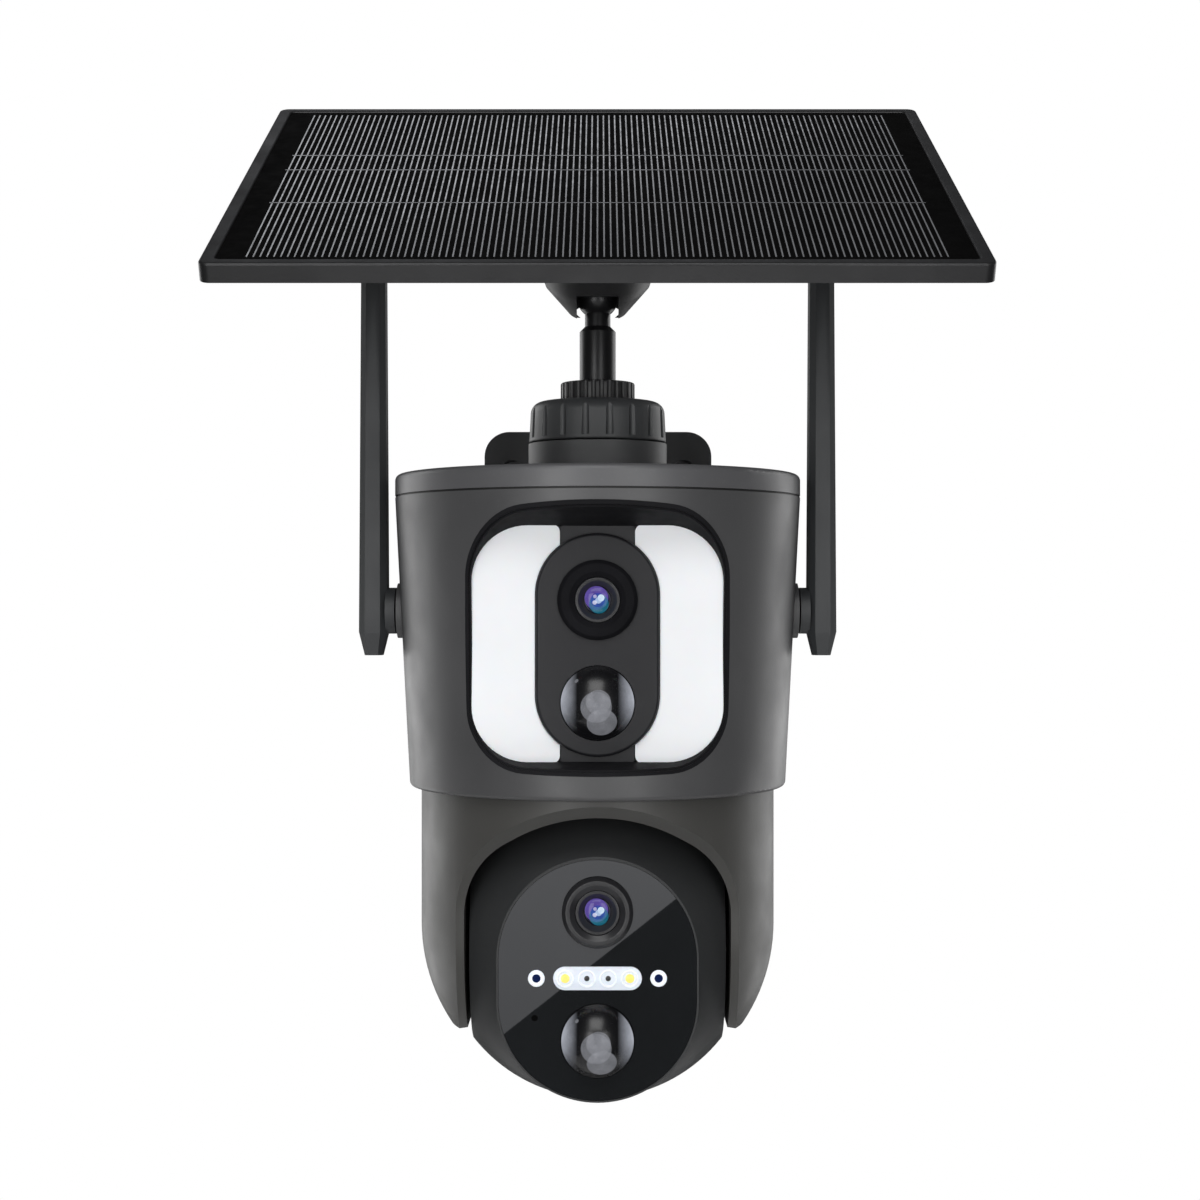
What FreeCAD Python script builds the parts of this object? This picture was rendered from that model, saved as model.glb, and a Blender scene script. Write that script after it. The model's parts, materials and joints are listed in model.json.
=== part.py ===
import FreeCAD, Part
import math
import os
import Sketcher
from types import SimpleNamespace
from FreeCAD import Placement, Rotation, Vector

# Solar-powered security camera on a wall bracket, in millimetres.
# Every piece is drawn in the camera's own axes: Z is the pan axis, pointing up, height 0 is the centre of
# the upper lens and the camera faces -Y. One common shift then moves the origin to the middle of the back
# face of the wall plate.

SIZES = {
    "wall_reach": 92.0,         # pan axis to the wall
    "plate_rise": 18.7,         # centre of the wall plate above the upper lens
    "plate_half": 38.8,
    "plate_thick": 6.0,
    "plate_corner": 8.5,
    "screw_across_half": 29.2,
    "screw_up_half": 25.3,
    "screw_hole": 2.3,
    "arm_half": 12.0,
    "ring_low": 37.6,
    "ring_high": 46.6,
    "ring_outer": 20.7,
    "neck_radius": 13.0,
    "cap_screw_ring": 53.6,
    "cap_radius": 60.45,
    "cap_low": 30.9,
    "cap_high": 37.2,
    "cap_round": 1.8,
    "seal_thick": 0.6,
    "lip_radius": 56.0,
    "lip_low": -55.1,
    "shell_wall": 2.6,
    "opening_half": 35.6,
    "opening_high": 21.4,
    "opening_low": -45.8,
    "opening_corner": 16.0,
    "mouth_half": 38.0,
    "mouth_high": 27.0,
    "mouth_low": -48.0,
    "mouth_corner": 17.0,
    "insert_front": 44.0,
    "insert_thick": 2.6,
    "strip_half": 10.5,
    "capsule_half": 17.2,
    "capsule_high": 1.4,
    "capsule_low": -26.4,
    "capsule_front": 46.2,
    "upper_dome_height": -28.6,
    "dome_radius": 10.4,
    "dome_rise": 7.0,
    "barrel_radius": 6.3,
    "lens_ring": 11.3,
    "low_lens_ring": 10.2,
    "base_low": -49.6,
    "base_high": -47.2,
    "base_radius": 53.4,
    "hub_radius": 8.0,
    "gear_low": -46.4,
    "gear_thick": 4.4,
    "gear_module": 0.75,
    "pan_teeth": 48,
    "tilt_teeth": 40,
    "pinion_teeth": 14,
    "antenna_offset": 67.0,
    "antenna_half": 4.2,
    "antenna_depth": 5.5,
    "antenna_low": -16.5,
    "antenna_high": 101.0,
    "antenna_pivot": -3.2,
    "nut_radius": 20.5,
    "nut_low": 47.0,
    "nut_high": 59.2,
    "lock_radius": 11.1,
    "lock_high": 65.0,
    "post_radius": 5.4,
    "post_high": 80.3,
    "post_neck": 3.82,
    "ball_radius": 6.2,
    "ball_height": 90.6,
    "yoke_radius": 52.6,
    "yoke_wall": 2.4,
    "yoke_roof": -51.0,
    "yoke_round": -95.8,
    "yoke_low": -124.8,
    "yoke_ceiling": -52.8,
    "arm_face": 37.9,
    "arm_plate": 2.0,
    "arch_high": -60.2,
    "arch_radius": 25.0,
    "arch_top_radius": 45.0,
    "arch_bevel": 3.4,
    "arch_rim": 5.2,
    "tilt_height": -100.6,
    "head_radius": 47.4,
    "head_half": 36.6,
    "head_wall": 2.2,
    "head_front": 38.0,
    "chin_half": 28.5,
    "window_half": 27.9,
    "window_high": -0.5,        # from here on, heights on the head are from the tilt axis
    "window_low": -12.4,
    "low_lens": 12.7,
    "led_row": -5.85,
    "low_dome": -23.5,
    "panel_tilt": 27.74,
    "panel_half": 103.3,
    "panel_depth": 78.9,
    "panel_high": 37.0,         # top face above the ball centre, square to the panel
    "panel_thick": 5.3,
    "panel_rim": 4.0,
    "box_half": 50.0,
    "box_depth": 45.0,
    "box_low": 23.0,
    "foot_radius": 19.2,
    "foot_low": 12.2,
}

doc = FreeCAD.newDocument("SolarCamera")
sheet = doc.addObject("Spreadsheet::Sheet", "Sizes")
PARTS = []


class Size:
    """A length that carries its number and the sheet formula that gives it."""

    def __init__(self, value, text):
        self.value = float(value)
        self.text = text

    def joined(self, other, sign, value):
        return Size(value, f"({self.text} {sign} {other.text})")

    def __add__(self, other):
        other = as_size(other)
        return self.joined(other, "+", self.value + other.value)

    def __sub__(self, other):
        other = as_size(other)
        return self.joined(other, "-", self.value - other.value)

    def __mul__(self, other):
        other = as_size(other)
        return self.joined(other, "*", self.value * other.value)

    def __truediv__(self, other):
        other = as_size(other)
        return self.joined(other, "/", self.value / other.value)

    def __neg__(self):
        return Size(-self.value, f"(0 - {self.text})")

    def __rsub__(self, other):
        return as_size(other) - self

    __radd__ = __add__
    __rmul__ = __mul__


def as_size(number):
    if isinstance(number, Size):
        return number
    return Size(number, f"({float(number)!r})")


def fill_sheet():
    """Write every driving size into the sheet and return them by name."""
    for row, (name, value) in enumerate(SIZES.items(), start=1):
        sheet.set(f"A{row}", name)
        sheet.set(f"B{row}", str(value))
        sheet.setAlias(f"B{row}", name)
    doc.recompute()
    return SimpleNamespace(**{name: Size(value, f"Sizes.{name}") for name, value in SIZES.items()})


d = fill_sheet()
HOME = (as_size(0), -d.wall_reach, -d.plate_rise)
PANEL_TURN = Rotation(Vector(1, 0, 0), SIZES["panel_tilt"])
FACING_FRONT = Rotation(Vector(1, 0, 0), 90)      # turns a piece's own Z to the front, -Y
FACING_RIGHT = Rotation(Vector(0, 1, 0), 90)      # turns a piece's own Z to +X


def bind(item, name, size):
    item.setExpression(name, as_size(size).text)


def place(item, at=(0, 0, 0), turn=None, home=True):
    """Put a piece at a point of the camera's axes, turned about that point."""
    spot = [as_size(value) for value in at]
    if home:
        spot = [value + shift for value, shift in zip(spot, HOME)]
    item.Placement = Placement(Vector(*[value.value for value in spot]), turn or Rotation())
    for letter, value in zip("xyz", spot):
        bind(item, f"Placement.Base.{letter}", value)


def keep(item, label, at=(0, 0, 0), turn=None):
    """Name a finished piece, place it and list it for writing."""
    item.Label = label
    place(item, at, turn)
    PARTS.append(item)
    return item


# ---------------------------------------------------------------- sketches and bodies

def pin_point(sketch, geometry, point, x, y):
    """Hold one sketch point at x, y from the sketch's origin."""
    for kind, size, axis in (("DistanceX", x, -2), ("DistanceY", y, -1)):
        if abs(size.value) < 1e-9:
            sketch.addConstraint(Sketcher.Constraint("PointOnObject", geometry, point, axis))
        else:
            index = sketch.addConstraint(
                Sketcher.Constraint(kind, -1, 1, geometry, point, size.value))
            bind(sketch, f"Constraints[{index}]", size)


def draw_circle(sketch, x, y, radius):
    x, y, radius = as_size(x), as_size(y), as_size(radius)
    circle = Part.Circle(Vector(x.value, y.value, 0), Vector(0, 0, 1), radius.value)
    number = sketch.addGeometry(circle)
    pin_point(sketch, number, 3, x, y)
    index = sketch.addConstraint(Sketcher.Constraint("Radius", number, radius.value))
    bind(sketch, f"Constraints[{index}]", radius)


def corner_arc(before, spot, after, radius):
    """The arc that rounds one corner: where it meets each side, its centre and which way it turns."""
    back = (before - spot).normalize()
    ahead = (after - spot).normalize()
    half = back.getAngle(ahead) / 2
    trim = radius / math.tan(half)
    centre = spot + (back + ahead).normalize() * (radius / math.sin(half))
    left_turn = (-back).cross(ahead).z > 0
    return spot + back * trim, spot + ahead * trim, centre, left_turn


def draw_outline(sketch, corners):
    """Draw a closed outline; a corner is (x, y) or (x, y, radius of its rounding)."""
    sizes = [[as_size(value) for value in corner] for corner in corners]
    spots = [Vector(x.value, y.value, 0) for x, y, *_ in sizes]
    count = len(spots)
    bends = []
    for number, corner in enumerate(sizes):
        if len(corner) == 3:
            neighbours = spots[number - 1], spots[number], spots[(number + 1) % count]
            bends.append(corner_arc(*neighbours, corner[2].value))
        else:
            bends.append((spots[number], spots[number], None, None))
    sides = []
    for number in range(count):
        start, end = bends[number][1], bends[(number + 1) % count][0]
        sides.append(sketch.addGeometry(Part.LineSegment(start, end)))
    for number, corner in enumerate(sizes):
        before, after = sides[number - 1], sides[number]
        if len(corner) == 2:
            sketch.addConstraint(Sketcher.Constraint("Coincident", before, 2, after, 1))
            pin_point(sketch, after, 1, corner[0], corner[1])
        else:
            round_corner(sketch, before, after, corner, bends[number])


def round_corner(sketch, before, after, corner, bend):
    x, y, radius = corner
    arrive, leave, centre, left_turn = bend
    start, end = (arrive, leave) if left_turn else (leave, arrive)
    angles = [math.atan2(point.y - centre.y, point.x - centre.x) for point in (start, end)]
    circle = Part.Circle(centre, Vector(0, 0, 1), radius.value)
    arc = sketch.addGeometry(Part.ArcOfCircle(circle, *angles))
    mark = sketch.addGeometry(Part.Point(Vector(x.value, y.value, 0)), True)
    pin_point(sketch, mark, 1, x, y)
    for side in (before, after):
        sketch.addConstraint(Sketcher.Constraint("PointOnObject", mark, 1, side))
    arrive_end, leave_end = (1, 2) if left_turn else (2, 1)
    sketch.addConstraint(Sketcher.Constraint("Tangent", before, 2, arc, arrive_end))
    sketch.addConstraint(Sketcher.Constraint("Tangent", after, 1, arc, leave_end))
    index = sketch.addConstraint(Sketcher.Constraint("Radius", arc, radius.value))
    bind(sketch, f"Constraints[{index}]", radius)


def rounded_box(half_width, high, low, radius):
    return [(-half_width, low, radius), (half_width, low, radius),
            (half_width, high, radius), (-half_width, high, radius)]


class Piece:
    """One PartDesign body, built feature by feature."""

    def __init__(self, name):
        self.name = name
        self.body = doc.addObject("PartDesign::Body", name)

    def sketch(self, *loops, plane="XY_Plane", at=0):
        """A sketch of circles (x, y, radius) and outlines [corners] on a plane, moved along its normal."""
        sketch = self.body.newObject("Sketcher::SketchObject", self.name + "_sketch")
        origin = next(item for item in self.body.Origin.OriginFeatures if item.Role == plane)
        sketch.AttachmentSupport = [(origin, "")]
        sketch.MapMode = "FlatFace"
        bind(sketch, "AttachmentOffset.Base.z", at)
        for loop in loops:
            if isinstance(loop, tuple):
                draw_circle(sketch, *loop)
            else:
                draw_outline(sketch, loop)
        return sketch

    def feature(self, kind, sketch):
        feature = self.body.newObject("PartDesign::" + kind, self.name + "_" + kind)
        feature.Profile = sketch
        return feature

    def pad(self, length, *loops, plane="XY_Plane", at=0):
        pad = self.feature("Pad", self.sketch(*loops, plane=plane, at=at))
        bind(pad, "Length", length)
        return pad

    def pocket(self, depth, *loops, plane="XY_Plane", at=0):
        """Cut from a plane along its normal, and check that something was cut."""
        sketch = self.sketch(*loops, plane=plane, at=at)
        doc.recompute()
        before = self.body.Shape.Volume
        pocket = self.feature("Pocket", sketch)
        bind(pocket, "Length", depth)
        pocket.Reversed = True
        doc.recompute()
        if self.body.Shape.Volume > before - 1e-3:
            raise RuntimeError(f"a pocket of {self.name} cuts nothing")
        return pocket

    def turn(self, corners, plane="XZ_Plane"):
        turned = self.feature("Revolution", self.sketch(corners, plane=plane))
        turned.ReferenceAxis = (turned.Profile[0], ["V_Axis"])
        turned.Angle = 360
        return turned

    def around(self, feature, count):
        """Repeat a feature about the sketch's normal."""
        pattern = self.body.newObject("PartDesign::PolarPattern", self.name + "_pattern")
        pattern.Originals = [feature]
        pattern.Axis = (feature.Profile[0], ["N_Axis"])
        pattern.Angle = 360
        pattern.Occurrences = count
        self.body.Tip = pattern
        return pattern

    def soften(self, size, kind, pick):
        """Fillet or Chamfer the edges that pick(edge) chooses."""
        doc.recompute()
        tip = self.body.Tip
        names = [f"Edge{index}" for index, edge in enumerate(tip.Shape.Edges, start=1) if pick(edge)]
        softened = self.body.newObject("PartDesign::" + kind, self.name + "_" + kind)
        softened.Base = (tip, names)
        bind(softened, "Radius" if kind == "Fillet" else "Size", size)
        return softened


def solid(kind, name, **sizes):
    """A Part primitive with its sizes bound; at= is its base point."""
    item = doc.addObject("Part::" + kind, name)
    at = sizes.pop("at", (0, 0, 0))
    turn = sizes.pop("turn", None)
    for prop, size in sizes.items():
        bind(item, prop, size)
    place(item, at, turn, home=False)
    return item


def block(name, low, high):
    """A box between two corners."""
    low = [as_size(value) for value in low]
    high = [as_size(value) for value in high]
    length, width, height = [top - bottom for bottom, top in zip(low, high)]
    return solid("Box", name, Length=length, Width=width, Height=height, at=low)


def cut(name, base, *tools):
    item = doc.addObject("Part::Cut", name)
    item.Base = base
    item.Tool = tools[0] if len(tools) == 1 else fuse(name + "_tools", *tools)
    return item


def fuse(name, *items):
    item = doc.addObject("Part::MultiFuse", name)
    item.Shapes = list(items)
    return item


def chamfer(name, base, size, pick):
    """Bevel the edges of a shape that pick(edge) chooses."""
    doc.recompute()
    item = doc.addObject("Part::Chamfer", name)
    item.Base = base
    item.Edges = [(index, size.value, size.value)
                  for index, edge in enumerate(base.Shape.Edges, start=1) if pick(edge)]
    return item


def common(name, *items):
    item = doc.addObject("Part::MultiCommon", name)
    item.Shapes = list(items)
    return item


def group(name, shapes):
    """Several equal solids that share one node."""
    item = doc.addObject("Part::Feature", name)
    item.Shape = Part.makeCompound(shapes)
    return item


def disc(name, radius, low, high, at=(0, 0), bore=None):
    """A plain disc or ring between two heights."""
    piece = Piece(name)
    loops = [(at[0], at[1], radius)]
    if bore is not None:
        loops.append((at[0], at[1], bore))
    piece.pad(as_size(high) - low, *loops, at=low)
    return piece.body


# ---------------------------------------------------------------- wall bracket

def wall_bracket():
    plate = Piece("bracket_plate")
    front = d.plate_thick - d.wall_reach
    high, low = d.plate_rise + d.plate_half, d.plate_rise - d.plate_half
    outline = rounded_box(d.plate_half, high, low, d.plate_corner)
    plate.pad(d.plate_thick, outline, plane="XZ_Plane", at=-d.wall_reach)
    spots = [(x * d.screw_across_half, d.plate_rise + z * d.screw_up_half)
             for x in (-1, 1) for z in (-1, 1)]
    plate.pocket(d.plate_thick, *[(x, z, d.screw_hole) for x, z in spots],
                 plane="XZ_Plane", at=-d.wall_reach)
    plate.pocket(2.5, *[(x, z, d.screw_hole * 1.7) for x, z in spots], plane="XZ_Plane", at=front - 2.5)
    arm = Piece("bracket_arm")
    ring_floor = d.ring_low
    arm.pad(d.ring_high - ring_floor,
            [(-d.arm_half, d.wall_reach - 4), (-d.arm_half + 2, 10), (d.arm_half - 2, 10),
             (d.arm_half, d.wall_reach - 4)], at=ring_floor)
    ring = disc("bracket_ring", d.ring_outer, ring_floor, d.ring_high)
    web = Piece("bracket_web")
    web.pad(7, [(d.wall_reach - 4, ring_floor + 1), (d.wall_reach - 28, ring_floor + 1),
                (d.wall_reach - 6, ring_floor - 34), (d.wall_reach - 4, ring_floor - 34)],
            plane="YZ_Plane", at=-3.5)
    bore = disc("bracket_bore", d.neck_radius + 0.08, ring_floor - 1, d.ring_high + 1)
    return keep(cut("wall_bracket", fuse("bracket_solid", plate.body, arm.body, ring, web.body), bore),
                "wall_bracket")


# ---------------------------------------------------------------- upper housing

CAP_SCREW_ANGLES = (45, 135, 225, 315)


def top_cap():
    cap = Piece("top_cap")
    ceiling = d.cap_high - 2.6
    skirt = d.cap_radius - 3
    cap.turn([(0, ceiling), (skirt, ceiling), (skirt, d.cap_low), (d.cap_radius, d.cap_low),
              (d.cap_radius, d.cap_high, d.cap_round), (d.neck_radius, d.cap_high),
              (d.neck_radius, d.nut_high - 2, 1), (0, d.nut_high - 2)])
    cap.pocket(16.1, (0, 0, d.post_radius + 0.05), at=d.nut_high - 18)
    for angle in CAP_SCREW_ANGLES:
        x, y = [d.cap_screw_ring * turn(math.radians(angle)) for turn in (math.cos, math.sin)]
        cap.pocket(5, (x, y, 1.7), at=ceiling - 1)
        cap.pocket(1.6, (x, y, 3.2), at=d.cap_high - 1.5)
    keep(cap.body, "top_cap")
    keep(disc("cap_seal", d.cap_radius - 0.5, d.cap_low - d.seal_thick, d.cap_low,
              bore=d.cap_radius - 2.6), "cap_seal")


def screws(name, spots, head, shank, top, head_high, length):
    """Screws with cross-slotted pan heads, pointing down from height top."""
    shapes = []
    for x, y in spots:
        shape = Part.makeCylinder(head, head_high, Vector(x, y, top - head_high))
        shape = shape.fuse(Part.makeCylinder(shank, length, Vector(x, y, top - head_high - length)))
        for wide, deep in ((head, 0.6), (0.6, head)):
            slot = Part.makeBox(wide, deep, 0.8, Vector(x - wide / 2, y - deep / 2, top - 0.7))
            shape = shape.cut(slot)
        shapes.append(shape)
    return group(name, shapes)


def cap_screws():
    reach = SIZES["cap_screw_ring"]
    spots = [(reach * math.cos(math.radians(angle)), reach * math.sin(math.radians(angle)))
             for angle in CAP_SCREW_ANGLES]
    keep(screws("cap_screws", spots, 3.1, 1.4, SIZES["cap_high"] - 0.2, 1.3, 9), "cap_screws")


CHARGE_SPOT = (-11, -27)
CARD_SPOT = (9, -27)
BUTTON_SPOTS = ((-4, -15), (6, -15))


def upper_housing():
    floor = d.cap_low - d.seal_thick
    outer = Piece("housing_outer")
    outer.turn([(0, d.lip_low), (d.lip_radius, d.lip_low, 1.5), (d.cap_radius, floor), (0, floor)])
    mouth = outer.sketch(rounded_box(d.mouth_half, d.mouth_high, d.mouth_low, d.mouth_corner),
                         plane="XZ_Plane", at=62)
    inner = outer.sketch(rounded_box(d.opening_half, d.opening_high, d.opening_low, d.opening_corner),
                         plane="XZ_Plane", at=d.insert_front)
    loft = outer.feature("SubtractiveLoft", mouth)
    loft.Sections = [inner]
    loft.Ruled = True
    outer.pocket(d.insert_thick + 2, rounded_box(d.opening_half, d.opening_high, d.opening_low,
                                                 d.opening_corner),
                 plane="XZ_Plane", at=d.insert_front - d.insert_thick - 2)
    outer.pocket(10, rounded_box(as_size(20), -6, -34, 3), plane="XZ_Plane", at=-60)
    ways = [rounded_box(as_size(5.1), 2.1, -2.1, 1.8), rounded_box(as_size(7.1), 1.5, -1.5, 0.4)]
    for (x, z), way in zip((CHARGE_SPOT, CARD_SPOT), ways):
        outer.pocket(4, [(cx + x, cz + z, r) for cx, cz, r in way], plane="XZ_Plane", at=-51)
    for x, z in BUTTON_SPOTS:
        outer.pocket(4, (x, z, 3.35), plane="XZ_Plane", at=-51)
    hollow = Piece("housing_hollow")
    wall = d.shell_wall
    hollow.turn([(0, d.lip_low - 1), (d.lip_radius - wall, d.lip_low - 1),
                 (d.cap_radius - wall, floor + 1), (0, floor + 1)])
    tunnel = Piece("housing_tunnel")
    tunnel.pad(30, rounded_box(d.mouth_half + 1.6, d.mouth_high + 1.6, d.mouth_low - 1.4,
                               d.mouth_corner + 1),
               plane="XZ_Plane", at=d.insert_front - d.insert_thick)
    bay = Piece("housing_bay")
    bay.pad(12, rounded_box(as_size(22), -4, -36, 4), plane="XZ_Plane", at=-60)
    screw_posts = Piece("housing_posts")
    post = screw_posts.pad(22, (d.cap_screw_ring, 0, 4), at=floor - 22)
    screw_posts.around(post, 4)
    place(screw_posts.body, turn=Rotation(Vector(0, 0, 1), 45), home=False)
    pilot = Piece("housing_pilots")
    hole = pilot.pad(12, (d.cap_screw_ring, 0, 1.45), at=floor - 10)
    pilot.around(hole, 4)
    place(pilot.body, turn=Rotation(Vector(0, 0, 1), 45), home=False)
    room = cut("housing_room", hollow.body, tunnel.body, bay.body, screw_posts.body)
    shell = cut("upper_housing", outer.body, room, pilot.body)
    return keep(shell, "upper_housing")


def insert_panel():
    """Backing panel with the raised dark strip, and the two diffusers that fill the rest."""
    plate_face = d.insert_front - 1.4
    outline = rounded_box(d.opening_half - 0.15, d.opening_high - 0.15, d.opening_low + 0.15,
                          d.opening_corner)
    panel = Piece("insert_panel")
    back = d.insert_front - d.insert_thick
    panel.pad(d.insert_thick - 1.4, outline, plane="XZ_Plane", at=back)
    panel.pad(1.4, rounded_box(d.strip_half - 0.2, d.opening_high - 0.6, d.opening_low + 0.6, 1),
              plane="XZ_Plane", at=plate_face)
    seat = d.capsule_half + 0.05
    panel.pocket(4, rounded_box(seat, d.capsule_high + seat, d.capsule_low - seat, seat - 0.01),
                 plane="XZ_Plane", at=plate_face)
    panel.pocket(8, rounded_box(d.capsule_half - 2.2, d.capsule_high + 14.5, d.capsule_low - 14.5,
                                d.capsule_half - 3), plane="XZ_Plane", at=back - 2)
    for side in (-1, 1):
        low_x, high_x = sorted([side * 19.0, side * 31.5])
        window = [(low_x, -38), (high_x, -38, 9), (high_x, 14, 9), (low_x, 14)]
        if side < 0:
            window = [(low_x, -38, 9), (high_x, -38), (high_x, 14), (low_x, 14, 9)]
        panel.pocket(8, window, plane="XZ_Plane", at=back - 2)
    keep(panel.body, "insert_panel")
    gap = 0.25
    for side, word in ((-1, "left"), (1, "right")):
        light = Piece("diffuser_" + word)
        edge = side * (d.opening_half - 0.35)
        inner = side * d.strip_half
        high, low = d.opening_high - 0.4, d.opening_low + 0.4
        corner = d.opening_corner - 0.2
        if side > 0:
            outline = [(inner, low, 2), (edge, low, corner), (edge, high, corner), (inner, high, 2)]
        else:
            outline = [(edge, low, corner), (inner, low, 2), (inner, high, 2), (edge, high, corner)]
        light.pad(1.7, outline, plane="XZ_Plane", at=plate_face)
        reach = d.capsule_half + gap
        light.pocket(4, rounded_box(reach, d.capsule_high + reach, d.capsule_low - reach, reach - 0.01),
                     plane="XZ_Plane", at=plate_face - 1)
        keep(light.body, "light_diffuser_" + word)


def lens_capsule():
    back = d.insert_front - 1.4
    capsule = Piece("lens_capsule")
    half = d.capsule_half
    capsule.pad(d.capsule_front - back,
                rounded_box(half, d.capsule_high + half, d.capsule_low - half, half - 0.01),
                plane="XZ_Plane", at=back)
    capsule.soften(1.0, "Fillet", lambda edge: abs(edge.BoundBox.YMax + SIZES["capsule_front"]) < 1e-3
                   and abs(edge.BoundBox.YMin + SIZES["capsule_front"]) < 1e-3)
    capsule.pocket(12, (0, 0, d.barrel_radius + 0.1), plane="XZ_Plane", at=back - 2)
    capsule.pocket(12, (0, d.upper_dome_height, d.dome_radius + 0.1), plane="XZ_Plane", at=back - 2)
    keep(capsule.body, "lens_capsule")


def lens(prefix, at, ring_front, ring_radius):
    """Lens ring, threaded barrel and front glass, looking along their own +Z."""
    ring = Piece(prefix + "_ring")
    ring.turn([(d.barrel_radius + 0.1, 0), (ring_radius - 1, 0), (ring_radius, 1.0, 0.4),
               (ring_radius - 1.2, 2.4, 0.4), (d.barrel_radius + 1.6, 2.4, 0.4),
               (d.barrel_radius + 0.1, 1.3)])
    place_at = (at[0], at[1] - ring_front, at[2])
    keep(ring.body, prefix + "_lens_ring", place_at, FACING_FRONT)
    barrel = Piece(prefix + "_barrel")
    radius = d.barrel_radius
    barrel.turn([(0, -16), (radius - 0.6, -16, 0.3), (radius - 0.6, -2), (radius, -2), (radius, 1.2, 0.3),
                 (radius - 0.9, 1.2), (3.9, -0.6), (3.9, -2), (0, -2)])
    keep(barrel.body, prefix + "_lens_barrel", place_at, FACING_FRONT)
    glass = Piece(prefix + "_glass")
    profile = dome_outline(3.85, -1.95, 1.6)
    glass.turn(profile)
    keep(glass.body, prefix + "_lens_glass", place_at, FACING_FRONT)


def dome_outline(radius, base, rise):
    """Half outline of a shallow dome, as chords of its arc with the tip on the axis."""
    radius, base, rise = as_size(radius), as_size(base), as_size(rise)
    steps = 7
    corners = [(0, base), (radius, base)]
    for step in range(1, steps):
        angle = math.radians(90 * step / steps)
        corners.append((radius * math.cos(angle), base + rise * math.sin(angle)))
    corners.append((0, base + rise))
    return corners


def motion_dome(prefix, at):
    """Fresnel dome with its flange, hollow behind, and the sensor can on its small board."""
    radius = (d.dome_radius * d.dome_radius + d.dome_rise * d.dome_rise) / (d.dome_rise * 2)
    centre = (0, 0, d.dome_rise - radius)
    dome = solid("Sphere", prefix + "_ball", Radius=radius, at=centre)
    inner = solid("Sphere", prefix + "_inner", Radius=radius - 0.9, at=centre)
    rim = disc(prefix + "_rim", d.dome_radius, -1.2, 8)
    front = common(prefix + "_front", dome, rim)
    skirt = disc(prefix + "_skirt", d.dome_radius, -3.2, 0, bore=d.dome_radius - 1)
    keep(cut(prefix + "_dome", fuse(prefix + "_whole", front, skirt), inner), prefix + "_motion_dome",
         at, FACING_FRONT)
    can = Piece(prefix + "_can")
    can.pad(1.6, rounded_box(as_size(8), 8, -8, 1), at=-7)
    can.pad(4.2, (0, 0, 4.6), at=-5.4)
    keep(can.body, prefix + "_motion_sensor", at, FACING_FRONT)


def light_board():
    board = Piece("light_board")
    board.pad(1.4, rounded_box(as_size(31), 16, -41, 12), plane="XZ_Plane", at=38.6)
    board.pocket(6, rounded_box(d.capsule_half - 1, 15, -40.5, 4), plane="XZ_Plane", at=36)
    keep(board.body, "light_board")
    chips = []
    for side in (-1, 1):
        for column in range(2):
            for row in range(7):
                x, z = side * (21 + 6 * column), -33 + 7 * row
                chips.append(Part.makeBox(2.8, 0.8, 2.8, Vector(x - 1.4, -40.8, z - 1.4)))
    keep(group("flood_leds", chips), "flood_leds")


def base_plate():
    plate = Piece("base_plate")
    plate.pad(d.base_high - d.base_low, (0, 0, d.base_radius), (0, 0, d.hub_radius + 3.1), at=d.base_low)
    plate.pocket(6, [(-45, -60), (45, -60), (45, -d.insert_front + 6), (-45, -d.insert_front + 6)],
                 at=d.base_low - 1)
    keep(plate.body, "base_plate")
    bush = Piece("pan_bearing")
    hub = d.hub_radius
    bush.turn([(hub + 0.05, d.base_low - 0.9), (hub + 5, d.base_low - 0.9), (hub + 5, d.base_low),
               (hub + 3, d.base_low), (hub + 3, d.base_high + 0.6), (hub + 0.05, d.base_high + 0.6)])
    keep(bush.body, "pan_bearing")


def housing_internals():
    cells = []
    for y in (12, 31):
        for x in (-18.8, 0, 18.8):
            cell = Part.makeCylinder(9.2, 64, Vector(x, y, -34))
            cells.append(cell.fuse(Part.makeCylinder(2.8, 1, Vector(x, y, 30))))
    keep(group("battery_cells", cells), "battery_cells")
    board = Piece("main_board")
    board.pad(1.6, rounded_box(as_size(36), 24, -38, 2), plane="XZ_Plane", at=25)
    keep(board.body, "main_board")
    modem = Piece("modem_module")
    modem.pad(2.4, rounded_box(as_size(15), 20, -6, 0.5), plane="XZ_Plane", at=22.6)
    keep(modem.body, "modem_module")
    speaker = Piece("speaker")
    speaker.turn([(0, 0), (13, 0), (13, 2), (10, 5, 1), (10, 9), (0, 9)])
    keep(speaker.body, "speaker", (-34, -12, -46.9))


def service_bay():
    """Rear recess with sockets and buttons behind a rubber flap."""
    charge = Piece("charge_socket")
    charge.pad(8.5, rounded_box(as_size(5), 2, -2, 1.8), plane="XZ_Plane")
    charge.pocket(6, rounded_box(as_size(4.3), 1.3, -1.3, 1.2), plane="XZ_Plane", at=-0.1)
    keep(charge.body, "charge_socket", (CHARGE_SPOT[0], 50.5, CHARGE_SPOT[1]))
    card = Piece("card_reader")
    card.pad(8, rounded_box(as_size(7), 1.4, -1.4, 0.4), plane="XZ_Plane")
    card.pocket(7, rounded_box(as_size(6), 0.7, -0.7, 0.3), plane="XZ_Plane", at=-0.1)
    keep(card.body, "card_reader", (CARD_SPOT[0], 50.5, CARD_SPOT[1]))


def push_button(name, x, height):
    """Round button in the rear wall, pushed in towards the front."""
    button = Piece(name)
    button.pad(5.2, (0, 0, 3.2), plane="XZ_Plane", at=-1.6)
    button.soften(0.5, "Fillet", lambda edge: abs(edge.BoundBox.YMax - 1.6) < 1e-3
                  and edge.BoundBox.YLength < 1e-3)
    keep(button.body, name, (x, 50, height))


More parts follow.
